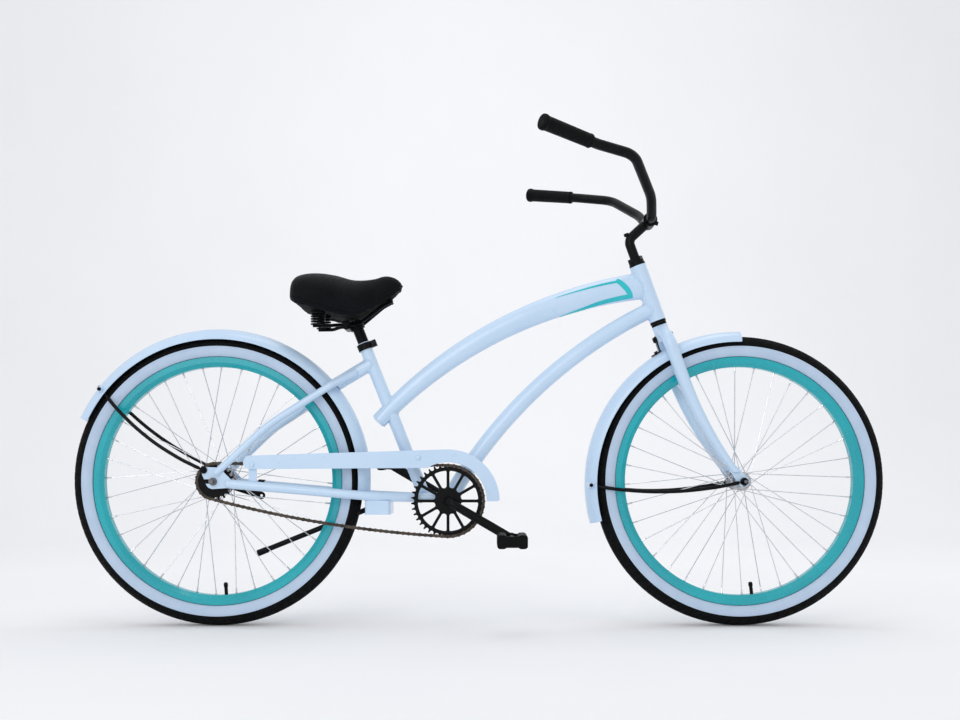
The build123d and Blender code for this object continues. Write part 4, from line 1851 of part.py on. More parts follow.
samples = [coil.line @ (i / 960) for i in range(961)]
apart = 960 // SPRING_COILS // 2
least = min((samples[i] - samples[j]).length for i in range(0, 961, 4) for j in range(i + apart, 961, 4))
print("least gap of the spring's wire to itself", round(least - SPRING_WIRE, 2), "mm")
print("kickstand", pivot, pivot_axis, round(fold_angle, 2))
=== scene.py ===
from math import atan2, cos, degrees, pi, radians, sin, sqrt

import bmesh
import bpy
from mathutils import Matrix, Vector
from mathutils.bvhtree import BVHTree


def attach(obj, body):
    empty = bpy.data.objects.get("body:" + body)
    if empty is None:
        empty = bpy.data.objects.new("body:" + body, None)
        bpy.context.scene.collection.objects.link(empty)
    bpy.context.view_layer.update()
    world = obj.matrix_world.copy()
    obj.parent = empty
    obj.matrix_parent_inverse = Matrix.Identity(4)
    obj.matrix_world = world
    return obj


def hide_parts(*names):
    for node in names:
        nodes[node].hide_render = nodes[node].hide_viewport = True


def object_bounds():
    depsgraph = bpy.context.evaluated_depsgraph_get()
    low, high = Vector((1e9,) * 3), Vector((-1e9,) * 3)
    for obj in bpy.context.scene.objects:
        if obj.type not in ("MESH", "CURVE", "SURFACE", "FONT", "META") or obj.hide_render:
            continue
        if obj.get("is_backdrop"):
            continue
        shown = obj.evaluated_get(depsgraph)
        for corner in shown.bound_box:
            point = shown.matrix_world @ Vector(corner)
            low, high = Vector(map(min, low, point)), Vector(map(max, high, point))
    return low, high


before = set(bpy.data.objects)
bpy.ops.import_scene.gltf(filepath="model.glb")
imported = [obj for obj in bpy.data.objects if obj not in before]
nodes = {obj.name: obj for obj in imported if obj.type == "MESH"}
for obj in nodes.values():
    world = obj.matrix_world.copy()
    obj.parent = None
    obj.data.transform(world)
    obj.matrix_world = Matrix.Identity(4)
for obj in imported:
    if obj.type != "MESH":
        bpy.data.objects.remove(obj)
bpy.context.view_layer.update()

# Camera, square to the drive side

PHOTO_WIDTH = 960
camera_data = bpy.data.cameras.new("camera")
camera_data.lens = 41.41
camera_data.sensor_width = 36.0
camera_data.shift_x = -4 / PHOTO_WIDTH
camera_data.shift_y = 95 / PHOTO_WIDTH
camera = bpy.data.objects.new("camera", camera_data)
camera.location = (0.0122, -2.550, 0.3923)
camera.rotation_euler = (radians(90), 0, 0)
bpy.context.scene.collection.objects.link(camera)
bpy.context.scene.camera = camera

# Sizes shared with the solids, in metres

FRONT_AXLE = Vector((0.599, 0, 0.3325))
REAR_AXLE = Vector((-0.599, 0, 0.3325))
BRACKET = Vector((-0.0694548, 0, 0.288))
STEER_FOOT = Vector((0.553707, 0, 0.316015))
STEER_UP = Vector((-cos(radians(70)), 0, sin(radians(70))))
SEAT_UP = Vector((-cos(radians(68.3)), 0, sin(radians(68.3))))
SEAT_FOOT = Vector((BRACKET.x - 0.052, 0, BRACKET.z))
TOP_TUBE_RADIUS = 1.0
TOP_TUBE_WIDTH = 0.035
TOP_TUBE_REAR_HEIGHT = 0.037
TOP_TUBE_GROWTH = 0.025
DOWN_TUBE_RADIUS = 1.075
DOWN_TUBE_HALF = 0.0185
SEAT_TUBE_HALF = 0.0143
YOKE_HALF = 0.0155
HEAD_TUBE_HALF = 0.019
SHELL_HALF = 0.030
FENDER_RADIUS = 0.3502
FENDER_HALF_WIDTH = 0.033
FENDER_DEPTH = 0.025


# Mesh helpers


def add_mesh(name, verts, faces, materials, indices=None, smooth=True):
    mesh = bpy.data.meshes.new(name)
    mesh.from_pydata([tuple(v) for v in verts], [], faces)
    for material in materials:
        mesh.materials.append(material)
    for i, face in enumerate(mesh.polygons):
        face.use_smooth = smooth
        if indices:
            face.material_index = indices[i]
    shape = bmesh.new()
    shape.from_mesh(mesh)
    bmesh.ops.recalc_face_normals(shape, faces=shape.faces)
    shape.to_mesh(mesh)
    shape.free()
    made = bpy.data.objects.new(name, mesh)
    bpy.context.scene.collection.objects.link(made)
    return made


def sharpen(piece, angle=32):
    """Keeps edges sharper than an angle crisp under smooth shading."""
    shape = bmesh.new()
    shape.from_mesh(piece.data)
    for edge in shape.edges:
        if len(edge.link_faces) == 2 and edge.calc_face_angle(0) > radians(angle):
            edge.smooth = False
    shape.to_mesh(piece.data)
    shape.free()
    return piece


class Pile:
    """Collects several closed forms into one mesh."""

    def __init__(self):
        self.verts = []
        self.faces = []
        self.indices = []

    def add(self, verts, faces, index=0):
        base = len(self.verts)
        self.verts.extend(verts)
        self.faces.extend([tuple(base + i for i in face) for face in faces])
        self.indices.extend([index] * len(faces))

    def build(self, name, materials, smooth=True):
        return add_mesh(name, self.verts, self.faces, materials, self.indices, smooth)


def frames_along(points, closed=False):
    """Two cross directions at each point, turned as little as possible from one point to the next."""
    count = len(points)
    ways = []
    for i in range(count):
        before = points[i - 1] if closed or i else points[i]
        after = points[(i + 1) % count] if closed or i < count - 1 else points[i]
        ways.append((after - before).normalized())
    across = ways[0].orthogonal().normalized()
    frames = []
    for way in ways:
        across = (across - way * across.dot(way)).normalized()
        frames.append((across, way.cross(across)))
    return frames


def tube(points, radii, sides=12, closed=False):
    """The vertices and faces of a round tube along points; radii is one number or one for each point."""
    if not isinstance(radii, (list, tuple)):
        radii = [radii] * len(points)
    verts, faces = [], []
    for point, radius, (a, b) in zip(points, radii, frames_along(points, closed)):
        for k in range(sides):
            turn = 2 * pi * k / sides
            verts.append(point + a * (radius * cos(turn)) + b * (radius * sin(turn)))
    rings = len(points)
    for i in range(rings if closed else rings - 1):
        for k in range(sides):
            m = (k + 1) % sides
            j = (i + 1) % rings
            faces.append((i * sides + k, i * sides + m, j * sides + m, j * sides + k))
    if not closed:
        faces.append(tuple(range(sides)))
        faces.append(tuple(reversed(range((rings - 1) * sides, rings * sides))))
    return verts, faces


def smooth_line(points, between):
    """A line through the points with some points added between each two of them."""
    line = []
    for i in range(len(points) - 1):
        p0 = points[max(i - 1, 0)]
        p1, p2 = points[i], points[i + 1]
        p3 = points[min(i + 2, len(points) - 1)]
        for k in range(between):
            t = k / between
            line.append(
                0.5
                * (
                    2 * p1
                    + (p2 - p0) * t
                    + (2 * p0 - 5 * p1 + 4 * p2 - p3) * t * t
                    + (3 * p1 - p0 - 3 * p2 + p3) * t**3
                )
            )
    line.append(points[-1])
    return line


def around(centre, radius, angle, y=0.0):
    return Vector((centre.x + radius * cos(angle), y, centre.z + radius * sin(angle)))


# Materials


def srgb(r, g, b):
    def lin(v):
        v = v / 255
        return v / 12.92 if v <= 0.04045 else ((v + 0.055) / 1.055) ** 2.4

    return (lin(r), lin(g), lin(b), 1.0)


class Finish:
    """A surface whose colour, roughness and relief are made from noise in object space."""

    def __init__(self, name):
        self.material = bpy.data.materials.new(name)
        self.material.use_nodes = True
        self.tree = self.material.node_tree
        self.shader = self.tree.nodes["Principled BSDF"]
        self.place = self.tree.nodes.new("ShaderNodeTexCoord").outputs["Object"]
        self.last_bump = None

    def fixed(self, **values):
        for key, value in values.items():
            self.shader.inputs[key.replace("_", " ")].default_value = value
        return self

    def noise(self, scale, detail=3.0):
        node = self.tree.nodes.new("ShaderNodeTexNoise")
        node.inputs["Scale"].default_value = scale
        node.inputs["Detail"].default_value = detail
        node.inputs["Roughness"].default_value = 0.55
        self.tree.links.new(self.place, node.inputs["Vector"])
        return node.outputs["Fac"]

    def cells(self, scale, feature="F1"):
        node = self.tree.nodes.new("ShaderNodeTexVoronoi")
        node.feature = feature
        node.inputs["Scale"].default_value = scale
        self.tree.links.new(self.place, node.inputs["Vector"])
        return node.outputs["Distance"]

    def ramp(self, value, stops):
        node = self.tree.nodes.new("ShaderNodeValToRGB")
        ramp = node.color_ramp
        while len(ramp.elements) < len(stops):
            ramp.elements.new(0.5)
        for element, (at, colour) in zip(ramp.elements, stops):
            element.position = at
            element.color = colour if len(colour) == 4 else (*colour, 1)
        self.tree.links.new(value, node.inputs["Fac"])
        return node.outputs["Color"]

    def span(self, value, low, high, lowest=0.3, highest=0.7):
        node = self.tree.nodes.new("ShaderNodeMapRange")
        node.inputs["From Min"].default_value = lowest
        node.inputs["From Max"].default_value = highest
        node.inputs["To Min"].default_value = low
        node.inputs["To Max"].default_value = high
        self.tree.links.new(value, node.inputs["Value"])
        return node.outputs["Result"]

    def colour(self, value, stops):
        self.tree.links.new(self.ramp(value, stops), self.shader.inputs["Base Color"])
        return self

    def rough(self, value, low, high):
        self.tree.links.new(self.span(value, low, high), self.shader.inputs["Roughness"])
        return self

    def bump(self, value, height, strength=1.0):
        node = self.tree.nodes.new("ShaderNodeBump")
        node.inputs["Distance"].default_value = height
        node.inputs["Strength"].default_value = strength
        self.tree.links.new(value, node.inputs["Height"])
        if self.last_bump is not None:
            self.tree.links.new(self.last_bump, node.inputs["Normal"])
        self.last_bump = node.outputs["Normal"]
        self.tree.links.new(self.last_bump, self.shader.inputs["Normal"])
        return self


def paint(name, light, dark, low, high, coat, relief, specular=0.5):
    """Sprayed paint: a faint drift of colour, a slight orange-peel relief and a clear gloss."""
    f = Finish(name)
    f.colour(f.noise(6, 4), [(0.35, dark), (0.65, light)])
    f.rough(f.noise(35, 5), low, high)
    f.bump(f.noise(420, 2), relief, 0.35)
    f.bump(f.noise(2600, 1), relief * 0.25, 0.3)
    f.fixed(Coat_Weight=coat, Coat_Roughness=0.05, Specular_IOR_Level=specular)
    return f.material


def metal(name, light, dark, low, high, grain, relief):
    f = Finish(name)
    f.colour(f.noise(60, 5), [(0.3, dark), (0.7, light)])
    f.rough(f.noise(220, 5), low, high)
    f.bump(f.noise(grain, 3), relief, 0.4)
    f.fixed(Metallic=1.0)
    return f.material


def rubber(name, light, dark, low, high, relief, grain=1500):
    f = Finish(name)
    f.colour(f.noise(30, 5), [(0.35, dark), (0.7, light)])
    f.rough(f.noise(90, 4), low, high)
    f.bump(f.noise(grain, 3), relief, 0.5)
    f.fixed(Specular_IOR_Level=0.11)
    return f.material


def leather(name, light, dark):
    """Embossed vinyl: small pebbles between fine creases, its roughness drifting with a fine noise."""
    f = Finish(name)
    pebbles = f.cells(620, "DISTANCE_TO_EDGE")
    f.colour(f.noise(25, 5), [(0.35, dark), (0.7, light)])
    f.rough(f.noise(180, 4), 0.42, 0.6)
    f.bump(f.span(pebbles, 0.0, 1.0, 0.0, 0.25), 0.00035, 0.55)
    f.bump(f.noise(90, 4), 0.0009, 0.3)
    f.fixed(Specular_IOR_Level=0.07)
    return f.material


frame_paint = paint("frame_paint", srgb(196, 220, 243), srgb(192, 216, 241), 0.26, 0.36, 0.45, 0.00006)
black_paint = paint("black_paint", srgb(9, 10, 12), srgb(5, 6, 7), 0.3, 0.46, 0.06, 0.00010, 0.1)
rim_paint = paint("rim_paint", srgb(0, 170, 180), srgb(0, 158, 170), 0.22, 0.32, 0.35, 0.00008)
stripe_paint = paint("stripe_paint", srgb(22, 196, 204), srgb(6, 184, 193), 0.24, 0.34, 0.4, 0.00008)
dark_steel = metal("dark_steel", srgb(26, 27, 30), srgb(15, 16, 18), 0.3, 0.48, 900, 0.00006)
axle_steel = metal("axle_steel", srgb(120, 121, 123), srgb(104, 105, 108), 0.28, 0.42, 1200, 0.00006)
bright_steel = metal("bright_steel", srgb(222, 224, 228), srgb(196, 199, 204), 0.16, 0.3, 1500, 0.00003)
hub_steel = metal("hub_steel", srgb(198, 200, 204), srgb(184, 186, 191), 0.18, 0.32, 900, 0.00005)
chain_steel = metal("chain_steel", srgb(92, 84, 76), srgb(52, 47, 43), 0.32, 0.55, 1300, 0.00008)
tread_rubber = rubber("tread_rubber", srgb(12, 13, 15), srgb(6, 7, 8), 0.62, 0.82, 0.00010)
sidewall_rubber = rubber("sidewall_rubber", srgb(190, 208, 229), srgb(183, 202, 224), 0.5, 0.66, 0.00005)
tube_rubber = rubber("tube_rubber", srgb(20, 21, 23), srgb(12, 13, 14), 0.5, 0.7, 0.00005)
grip_rubber = rubber("grip_rubber", srgb(11, 12, 13), srgb(6, 7, 8), 0.5, 0.72, 0.00016, 1100)
pedal_rubber = rubber("pedal_rubber", srgb(10, 11, 12), srgb(6, 6, 7), 0.45, 0.68, 0.00014, 1000)
pan_plastic = rubber("pan_plastic", srgb(8, 9, 10), srgb(5, 6, 7), 0.8, 0.9, 0.00010, 800)
saddle_vinyl = leather("saddle_vinyl", srgb(15, 18, 22), srgb(9, 11, 14))
thread = rubber("thread", srgb(40, 44, 50), srgb(24, 27, 31), 0.6, 0.8, 0.00012, 2400)

FINISHES = {
    frame_paint: [
        "head_tube", "top_tube", "down_tube", "bottom_bracket_shell", "chain_stays", "seat_tube",
        "seat_stay_yoke", "seat_stays", "dropouts", "kickstand_bracket", "chain_guard",
        "chain_guard_brackets", "rear_fender", "front_fender", "fork",
    ],
    black_paint: [
        "headset_cups", "headset_nuts", "stem", "handlebar", "crank", "chainring", "front_fender_stays",
        "rear_fender_stays", "brake_arm", "kickstand", "seat_collar", "front_fender_hanger", "rear_sprocket",
    ],
    rim_paint: ["front_rim", "rear_rim"],
    dark_steel: [
        "stem_bolts", "frame_bolts", "front_fender_bolts", "saddle_clamp", "saddle_rails",
        "saddle_springs", "brake_strap", "bracket_cups", "pedal_axles", "seat_post", "front_axle_nuts",
    ],
    axle_steel: [
        "front_axle", "rear_axle", "rear_axle_nuts", "headset_bearings", "crank_bearings",
    ],
    hub_steel: ["front_hub", "rear_hub"],
    chain_steel: ["chain"],
    tube_rubber: ["front_inner_tube", "rear_inner_tube"],
    grip_rubber: ["grips"],
    pedal_rubber: ["right_pedal", "left_pedal"],
    pan_plastic: ["saddle_base"],
    saddle_vinyl: ["saddle_cushion"],
    bright_steel: ["front_spokes", "rear_spokes"],
    tread_rubber: ["front_tyre", "rear_tyre"],
}
for finish, names in FINISHES.items():
    for name in names:
        node = nodes[name]
        if not node.material_slots:
            node.data.materials.append(finish)
        for held in node.material_slots:
            held.material = finish

# Tyres: pale sidewalls, black tread cut into blocks, moulded ribs

# The section runs from bead to bead over the tread; its places are degrees from the middle of the tread

TYRE_CENTRE = 0.3055
TYRE_SECTION = 0.027
TYRE_WALL = 0.0022
BLOCK_EDGE = 66
BLACK_EDGE = 82
SIDEWALL_STEP = 91
SIDEWALL_PLACES = [138, 132, 128, 124, 118, 112, 106, 100, 94, 91.2, 90.4, 87.2, 86.4, 83.8]
SHOULDER_PLACES = [82, 77, 72, 70, 69, 66, 65.2, 60, 55, 50, 45, 40, 35.2]
CENTRE_PLACES = [34.6, 31.4, 30.8, 25, 20, 15.2, 14.6, 11.4, 10.8, 5, 0]
PITCHES = 90
PITCH_SHARES = [0.0, 0.36, 0.70, 0.73, 0.94, 0.97]
SLOT_COLUMNS = (3, 4)
SLANT = 0.55
GROOVE_DEPTH = 0.0016
SHOULDER_SLOT_DEPTH = 0.0013
CENTRE_SLOT_DEPTH = 0.0010
LINE_DEPTH = 0.0004
SIDEWALL_DEPTH = 0.0006


def tread_depth(size, column):
    """How far the surface lies under the tyre's round section."""
    if 31.4 <= size <= 34.6 or 11.4 <= size <= 14.6:
        return GROOVE_DEPTH
    if column in SLOT_COLUMNS and 34.6 < size < 65.5:
        return SHOULDER_SLOT_DEPTH
    if column in SLOT_COLUMNS and 14.6 < size < 31.4:
        return CENTRE_SLOT_DEPTH
    if BLOCK_EDGE < size < 69.5 or 83 < size < 87:
        return LINE_DEPTH
    return SIDEWALL_DEPTH if size > SIDEWALL_STEP else 0.0


def tyre(name, axle, body, node):
    """The tread's blocks are cut by grooves along the tyre and slanting ones across it."""
    places = SIDEWALL_PLACES + SHOULDER_PLACES + CENTRE_PLACES
    angles = [radians(d) for d in places] + [-radians(d) for d in reversed(places[:-1])]
    count = PITCHES * len(PITCH_SHARES)
    verts, faces, indices = [], [], []
    for p in range(PITCHES):
        for c, share in enumerate(PITCH_SHARES):
            for angle in angles:
                size = degrees(abs(angle))
                slant = SLANT * min(size, BLOCK_EDGE) / BLOCK_EDGE
                turn = 2 * pi * (p + share + slant) / PITCHES
                radius = TYRE_SECTION - tread_depth(size, c)
                verts.append(around(axle, TYRE_CENTRE + radius * cos(angle), turn, radius * sin(angle)))
    rows = len(angles)
    for i in range(count):
        j = (i + 1) % count
        for k in range(rows - 1):
            faces.append((i * rows + k, i * rows + k + 1, j * rows + k + 1, j * rows + k))
            middle = degrees(abs(angles[k] + angles[k + 1]) / 2)
            indices.append(1 if middle > BLACK_EDGE else 0)
    made = add_mesh(name, verts, faces, [tread_rubber, sidewall_rubber], indices)
    sharpen(made, 24)
    wall = made.modifiers.new("wall", "SOLIDIFY")
    wall.thickness = TYRE_WALL
    wall.offset = -1
    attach(made, body)
    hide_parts(node)


tyre("front_tyre_tread", FRONT_AXLE, "front_wheel", "front_tyre")
tyre("rear_tyre_tread", REAR_AXLE, "rear_wheel", "rear_tyre")

# Spokes with round wire, bent heads and nipples

SPOKES = 36
CROSSES = 3
RIM_INNER = 0.2625
RIM_STAGGER = 0.0026
FLANGE_HALF = 0.00125
FLANGE_EDGE = 0.003
SPOKE_RADIUS = 0.001
SPOKE_HEAD_RADIUS = 0.0019
FRONT_VALVE_ANGLE = -83.2
REAR_VALVE_ANGLE = -86.4


def spokes(name, axle, flange_radius, flange_spacing, valve_angle, body, node):
    pile = Pile()
    step = 2 * pi / (SPOKES // 2)
    hole_radius = flange_radius - FLANGE_EDGE
    for s in (-1, 1):
        for j in range(SPOKES // 2):
            lead = 1 if j % 2 else -1
            rim_angle = radians(valve_angle) + step / 4 + j * step + (0 if s > 0 else step / 2)
            hub_angle = rim_angle - lead * CROSSES * step
            face = FLANGE_HALF + SPOKE_RADIUS + 0.00005 + (SPOKE_RADIUS if lead * s > 0 else 0.0)
            flange_y = s * flange_spacing / 2
            start = around(axle, hole_radius, hub_angle, flange_y + lead * face)
            end = around(axle, RIM_INNER - 0.0002, rim_angle, s * RIM_STAGGER + lead * 0.0012)
            way = (end - start).normalized()
            head = around(axle, hole_radius, hub_angle, flange_y - lead * 0.0029)
            elbow = start + Vector((0, -lead * 0.0004, 0))
            bend = [head, head + Vector((0, lead * 0.0009, 0)), elbow, start + way * 0.0022]
            wire = [*smooth_line(bend, 3), start + way * 0.02, end - way * 0.011]
            pile.add(*tube(wire, SPOKE_RADIUS, 8))
            pile.add(*tube([head, head + Vector((0, lead * 0.0008, 0))], SPOKE_HEAD_RADIUS, 10))
            nipple = [end - way * back for back in (0.0125, 0.0115, 0.003, 0.0029, 0)]
            pile.add(*tube(nipple, [0.0014, 0.00185, 0.00185, 0.0026, 0.0028], 8))
    made = sharpen(pile.build(name, [bright_steel]), 40)
    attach(made, body)
    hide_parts(node)


spokes("front_laced_spokes", FRONT_AXLE, 0.022, 0.066, FRONT_VALVE_ANGLE, "front_wheel", "front_spokes")
spokes("rear_laced_spokes", REAR_AXLE, 0.033, 0.058, REAR_VALVE_ANGLE, "rear_wheel", "rear_spokes")

# Dust caps on the valves, ribbed for the fingers


def valve_cap(name, axle, angle, body):
    out = around(Vector((0, 0, 0)), 1, radians(angle))
    tip = axle + out * (RIM_INNER - 0.0278)
    steps = [(0.0, 0.0026), (0.0006, 0.0034), (0.0020, 0.0044), (0.0100, 0.0047), (0.0104, 0.0041)]
    line = [tip + out * along for along, _ in steps]
    pile = Pile()
    pile.add(*tube(line, [radius for _, radius in steps], 16))
    side = Vector((0, 1, 0))
    other = out.cross(side)
    for k in range(12):
        turn = 2 * pi * k / 12
        edge = (side * cos(turn) + other * sin(turn)) * 0.0046
        pile.add(*tube([tip + out * 0.0024 + edge, tip + out * 0.0096 + edge], 0.0004, 6))
    made = pile.build(name, [tube_rubber])
    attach(made, body)


valve_cap("front_valve_cap", FRONT_AXLE, FRONT_VALVE_ANGLE, "front_wheel")
valve_cap("rear_valve_cap", REAR_AXLE, REAR_VALVE_ANGLE, "rear_wheel")

# Chainring with twelve tapering windows between narrow arms

TEETH = 40
PITCH_RADIUS = 0.0809339
ROLLER_POCKET = 0.004235
TOOTH_TIP = 0.00343
TOOTH_PHASE = 89.55
RING_THICKNESS = 0.0028
CHAIN_LINE = 0.044
CRANK_ANGLE = -30.0
DRIVE_PIN_RADIUS = 0.068


def flat_point(radius, degrees_round):
    return Vector((radius * cos(radians(degrees_round)), radius * sin(radians(degrees_round)), 0))


def tooth_outline():
    line = []
    tip = PITCH_RADIUS + TOOTH_TIP
    for k in range(TEETH):
        middle = TOOTH_PHASE + 9 * k
        centre = flat_point(PITCH_RADIUS, middle)
        line.append(flat_point(tip, middle - 4.5 + 0.6))
        for turn in range(-84, -277, -16):
            line.append(centre + flat_point(ROLLER_POCKET, middle + turn))
        line.append(flat_point(tip, middle + 4.5 - 0.6))
    return line


def rounded(corners, radius):
    """A closed line with each corner replaced by a short curve."""
    line = []
    for i, corner in enumerate(corners):
        before, after = corners[i - 1], corners[(i + 1) % len(corners)]
        a = corner + (before - corner).normalized() * min(radius, (before - corner).length * 0.45)
        b = corner + (after - corner).normalized() * min(radius, (after - corner).length * 0.45)
        for k in range(6):
            t = k / 5
            line.append(a * (1 - t) ** 2 + corner * 2 * t * (1 - t) + b * t**2)
    return line


def window_outline(k):
    """One window, between arm k and the next; the arm behind the crank is wide, for its pin."""
    inner, outer = 0.0305, 0.0685
    first, last = CRANK_ANGLE + 30 * k, CRANK_ANGLE + 30 * (k + 1)
    half_first = 0.0075 if k == 0 else 0.0034
    half_last = 0.0075 if k == 11 else 0.0034

    def edge(radius, middle, half, s):
        return flat_point(radius, middle + s * degrees(half / radius))

    a, b = edge(outer, first, half_first, 1), edge(outer, last, half_last, -1)
    start, end = degrees(atan2(a.y, a.x)), degrees(atan2(b.y, b.x))
    span = (end - start) % 360
    arc = [flat_point(outer, start + span * i / 4) for i in range(1, 4)]
    corners = [edge(inner, first, half_first, 1), a, *arc, b, edge(inner, last, half_last, -1)]
    return rounded(corners, 0.004)


def plate(name, outlines, thickness, edge):
    """A flat plate with rounded edges from closed outlines, the first one round the others."""
    data = bpy.data.curves.new(name, "CURVE")
    data.dimensions = "2D"
    data.fill_mode = "BOTH"
    data.extrude = thickness / 2 - edge
    data.bevel_depth = edge
    data.bevel_resolution = 1
    data.offset = -edge
    for outline in outlines:
        spline = data.splines.new("POLY")
        spline.points.add(len(outline) - 1)
        for point, at in zip(spline.points, outline):
            point.co = (at.x, at.y, 0, 1)
        spline.use_cyclic_u = True
    drawn = bpy.data.objects.new(name + "_outline", data)
    bpy.context.scene.collection.objects.link(drawn)
    graph = bpy.context.evaluated_depsgraph_get()
    mesh = bpy.data.meshes.new_from_object(drawn.evaluated_get(graph), depsgraph=graph)
    bpy.data.objects.remove(drawn)
    made = bpy.data.objects.new(name, mesh)
    bpy.context.scene.collection.objects.link(made)
    return made


bore = [flat_point(0.01115, 7.5 * k) for k in range(48)]
pin_place = flat_point(DRIVE_PIN_RADIUS, CRANK_ANGLE)
pin_hole = [flat_point(0.00365, 15 * k) + pin_place for k in range(24)]
windows = [window_outline(k) for k in range(12)]
ring = plate("chainring_plate", [tooth_outline(), bore, pin_hole, *windows], RING_THICKNESS, 0.00035)
for v in ring.data.vertices:
    v.co = BRACKET + Vector((v.co.x, -CHAIN_LINE - v.co.z, v.co.y))
ring.data.materials.clear()
ring.data.materials.append(black_paint)
for face in ring.data.polygons:
    face.use_smooth = True
sharpen(ring, 30)
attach(ring, "cranks")
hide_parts("chainring")

# Fender stays that pass inside the fender's edge to their bolts


def washer(pile, centre, y, outer, inner, thick):
    """A flat ring about a line along the axles."""
    edge = thick * 0.2
    section = [(inner, -thick / 2), (outer - edge, -thick / 2), (outer, -thick / 2 + edge)]
    section += [(outer, thick / 2 - edge), (outer - edge, thick / 2), (inner, thick / 2)]
    verts, faces = [], []
    count = 32
    for i in range(count):
        for radius, across in section:
            verts.append(around(centre, radius, 2 * pi * i / count, y + across))
    n = len(section)
    for i in range(count):
        j = (i + 1) % count
        for k in range(n):
            m = (k + 1) % n
            faces.append((i * n + k, i * n + m, j * n + m, j * n + k))
    pile.add(verts, faces)


STAY_RADIUS = 0.0041
STAY_EDGE_Y = 0.0255
STAY_END_Y = 0.0212
STAY_MARKS = ((0.028, 0.0), (0.07, 0.0), (0.2, 0.0), (0.4, 0.15), (0.6, 0.4), (0.78, 0.66), (0.89, 0.84))


def stays(name, foot, foot_y, hole, bolt, body, node):
    """Two bowed rods from their feet beside the axle to the fender's bolts, thinner at both ends."""
    pile = Pile()
    bow = 0.019
    run = bolt - foot
    square = Vector((run.z, 0, -run.x)).normalized()
    if square.z > 0:
        square = -square
    for s in (-1, 1):
        marks = []
        for share, inward in STAY_MARKS:
            at = foot + run * share + square * (bow * 4 * share * (1 - share))
            marks.append(Vector((at.x, s * (foot_y + (STAY_EDGE_Y - foot_y) * inward), at.z)))
        marks.append(foot + run * 0.955 + Vector((0, s * 0.0248, 0)) + square * (bow * 0.17))
        marks.append(bolt + Vector((0, s * STAY_END_Y, 0)))
        line = smooth_line(marks, 7)
        radii = [STAY_RADIUS] * len(line)
        for i, radius in ((0, 0.0026), (1, 0.003), (2, 0.0035), (-1, 0.0024), (-2, 0.003), (-3, 0.0035)):
            radii[i] = radius
        pile.add(*tube(line, radii, 14))
        washer(pile, foot, s * foot_y, 0.0082, hole, 0.0036)
        washer(pile, bolt, s * STAY_END_Y, 0.0062, 0.0026, 0.0030)
    made = sharpen(pile.build(name, [black_paint]), 40)
    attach(made, body)
    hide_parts(node)


FRONT_FENDER_CENTRE = FRONT_AXLE + Vector((-0.0046, 0, -0.006))
front_bolt = around(FRONT_FENDER_CENTRE, 0.338, radians(180.5))
rear_bolt = around(REAR_AXLE, 0.3375, radians(141.5))
eyelet = Vector((-0.620, 0, 0.3585))
stays("front_stay_pair", FRONT_AXLE, 0.0571, 0.0042, front_bolt, "steering", "front_fender_stays")
stays("rear_stay_pair", eyelet, 0.0621, 0.0028, rear_bolt, "frame", "rear_fender_stays")

# Grips: a sleeve with fine rings, flared at its closed outer end


def turned(pile, start, way, profile, sides=40):
    """A form turned about a line, from (distance along, radius) pairs."""
    across = way.orthogonal().normalized()
    other = way.cross(across)
    verts, faces = [], []
    for along, radius in profile:
        for k in range(sides):
            turn = 2 * pi * k / sides
            verts.append(start + way * along + (across * cos(turn) + other * sin(turn)) * radius)
    for i in range(len(profile) - 1):
        for k in range(sides):
            m = (k + 1) % sides
            faces.append((i * sides + k, i * sides + m, (i + 1) * sides + m, (i + 1) * sides + k))
    faces.append(tuple(reversed(range(sides))))
    faces.append(tuple(range((len(profile) - 1) * sides, len(profile) * sides)))
    pile.add(verts, faces)


GRIP_RINGS = 23
GRIP_PITCH = 0.0046
OUTER_END = [
    (-0.003, 0.0085), (-0.0026, 0.0135), (-0.0012, 0.0160), (0.0010, 0.0169), (0.0055, 0.0170),
    (0.0072, 0.0164), (0.0085, 0.0156), (0.0110, 0.0154),
]
INNER_END = [
    (0.1175, 0.0146), (0.1190, 0.0151), (0.1225, 0.0151),
    (0.1240, 0.0144), (0.1250, 0.0130), (0.1252, 0.0114),
]

grips = Pile()
for s in (-1, 1):
    grip_end = Vector((0.130417, s * 0.317, 1.06679))
    inward = Vector((0.836115, -s * 0.520404, -0.173468)).normalized()
    profile = list(OUTER_END)
    for k in range(GRIP_RINGS):
        at = 0.0125 + GRIP_PITCH * k
        radius = 0.0153 - 0.0007 * k / (GRIP_RINGS - 1)
        low = radius - 0.0003
        profile += [(at, radius), (at + 0.0005, low), (at + 0.0010, low), (at + 0.0015, radius)]
    profile += INNER_END
    turned(grips, grip_end, inward, profile)
made = sharpen(grips.build("fine_ringed_grips", [grip_rubber]), 50)
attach(made, "steering")
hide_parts("grips")

# Pressed bosses in the fenders' sides, where the stays' bolts sit

BOSS_PROFILE = [
    (0, 0.0092), (0.0070, 0.0088), (0.0130, 0.0077), (0.0180, 0.0066), (0.0203, 0.0061), (0.0211, 0.0052),
]

for name, bolt, body in (
    ("front_fender_bosses", front_bolt, "steering"),
    ("rear_fender_bosses", rear_bolt, "frame"),
):
    bosses = Pile()
    for s in (-1, 1):
        start = Vector((bolt.x, s * 0.0160, bolt.z))
        turned(bosses, start, Vector((0, s, 0)), BOSS_PROFILE, 36)
    made = sharpen(bosses.build(name, [frame_paint]), 40)
    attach(made, body)

# A hex nut on the rear fender's crown over the stays' bolts

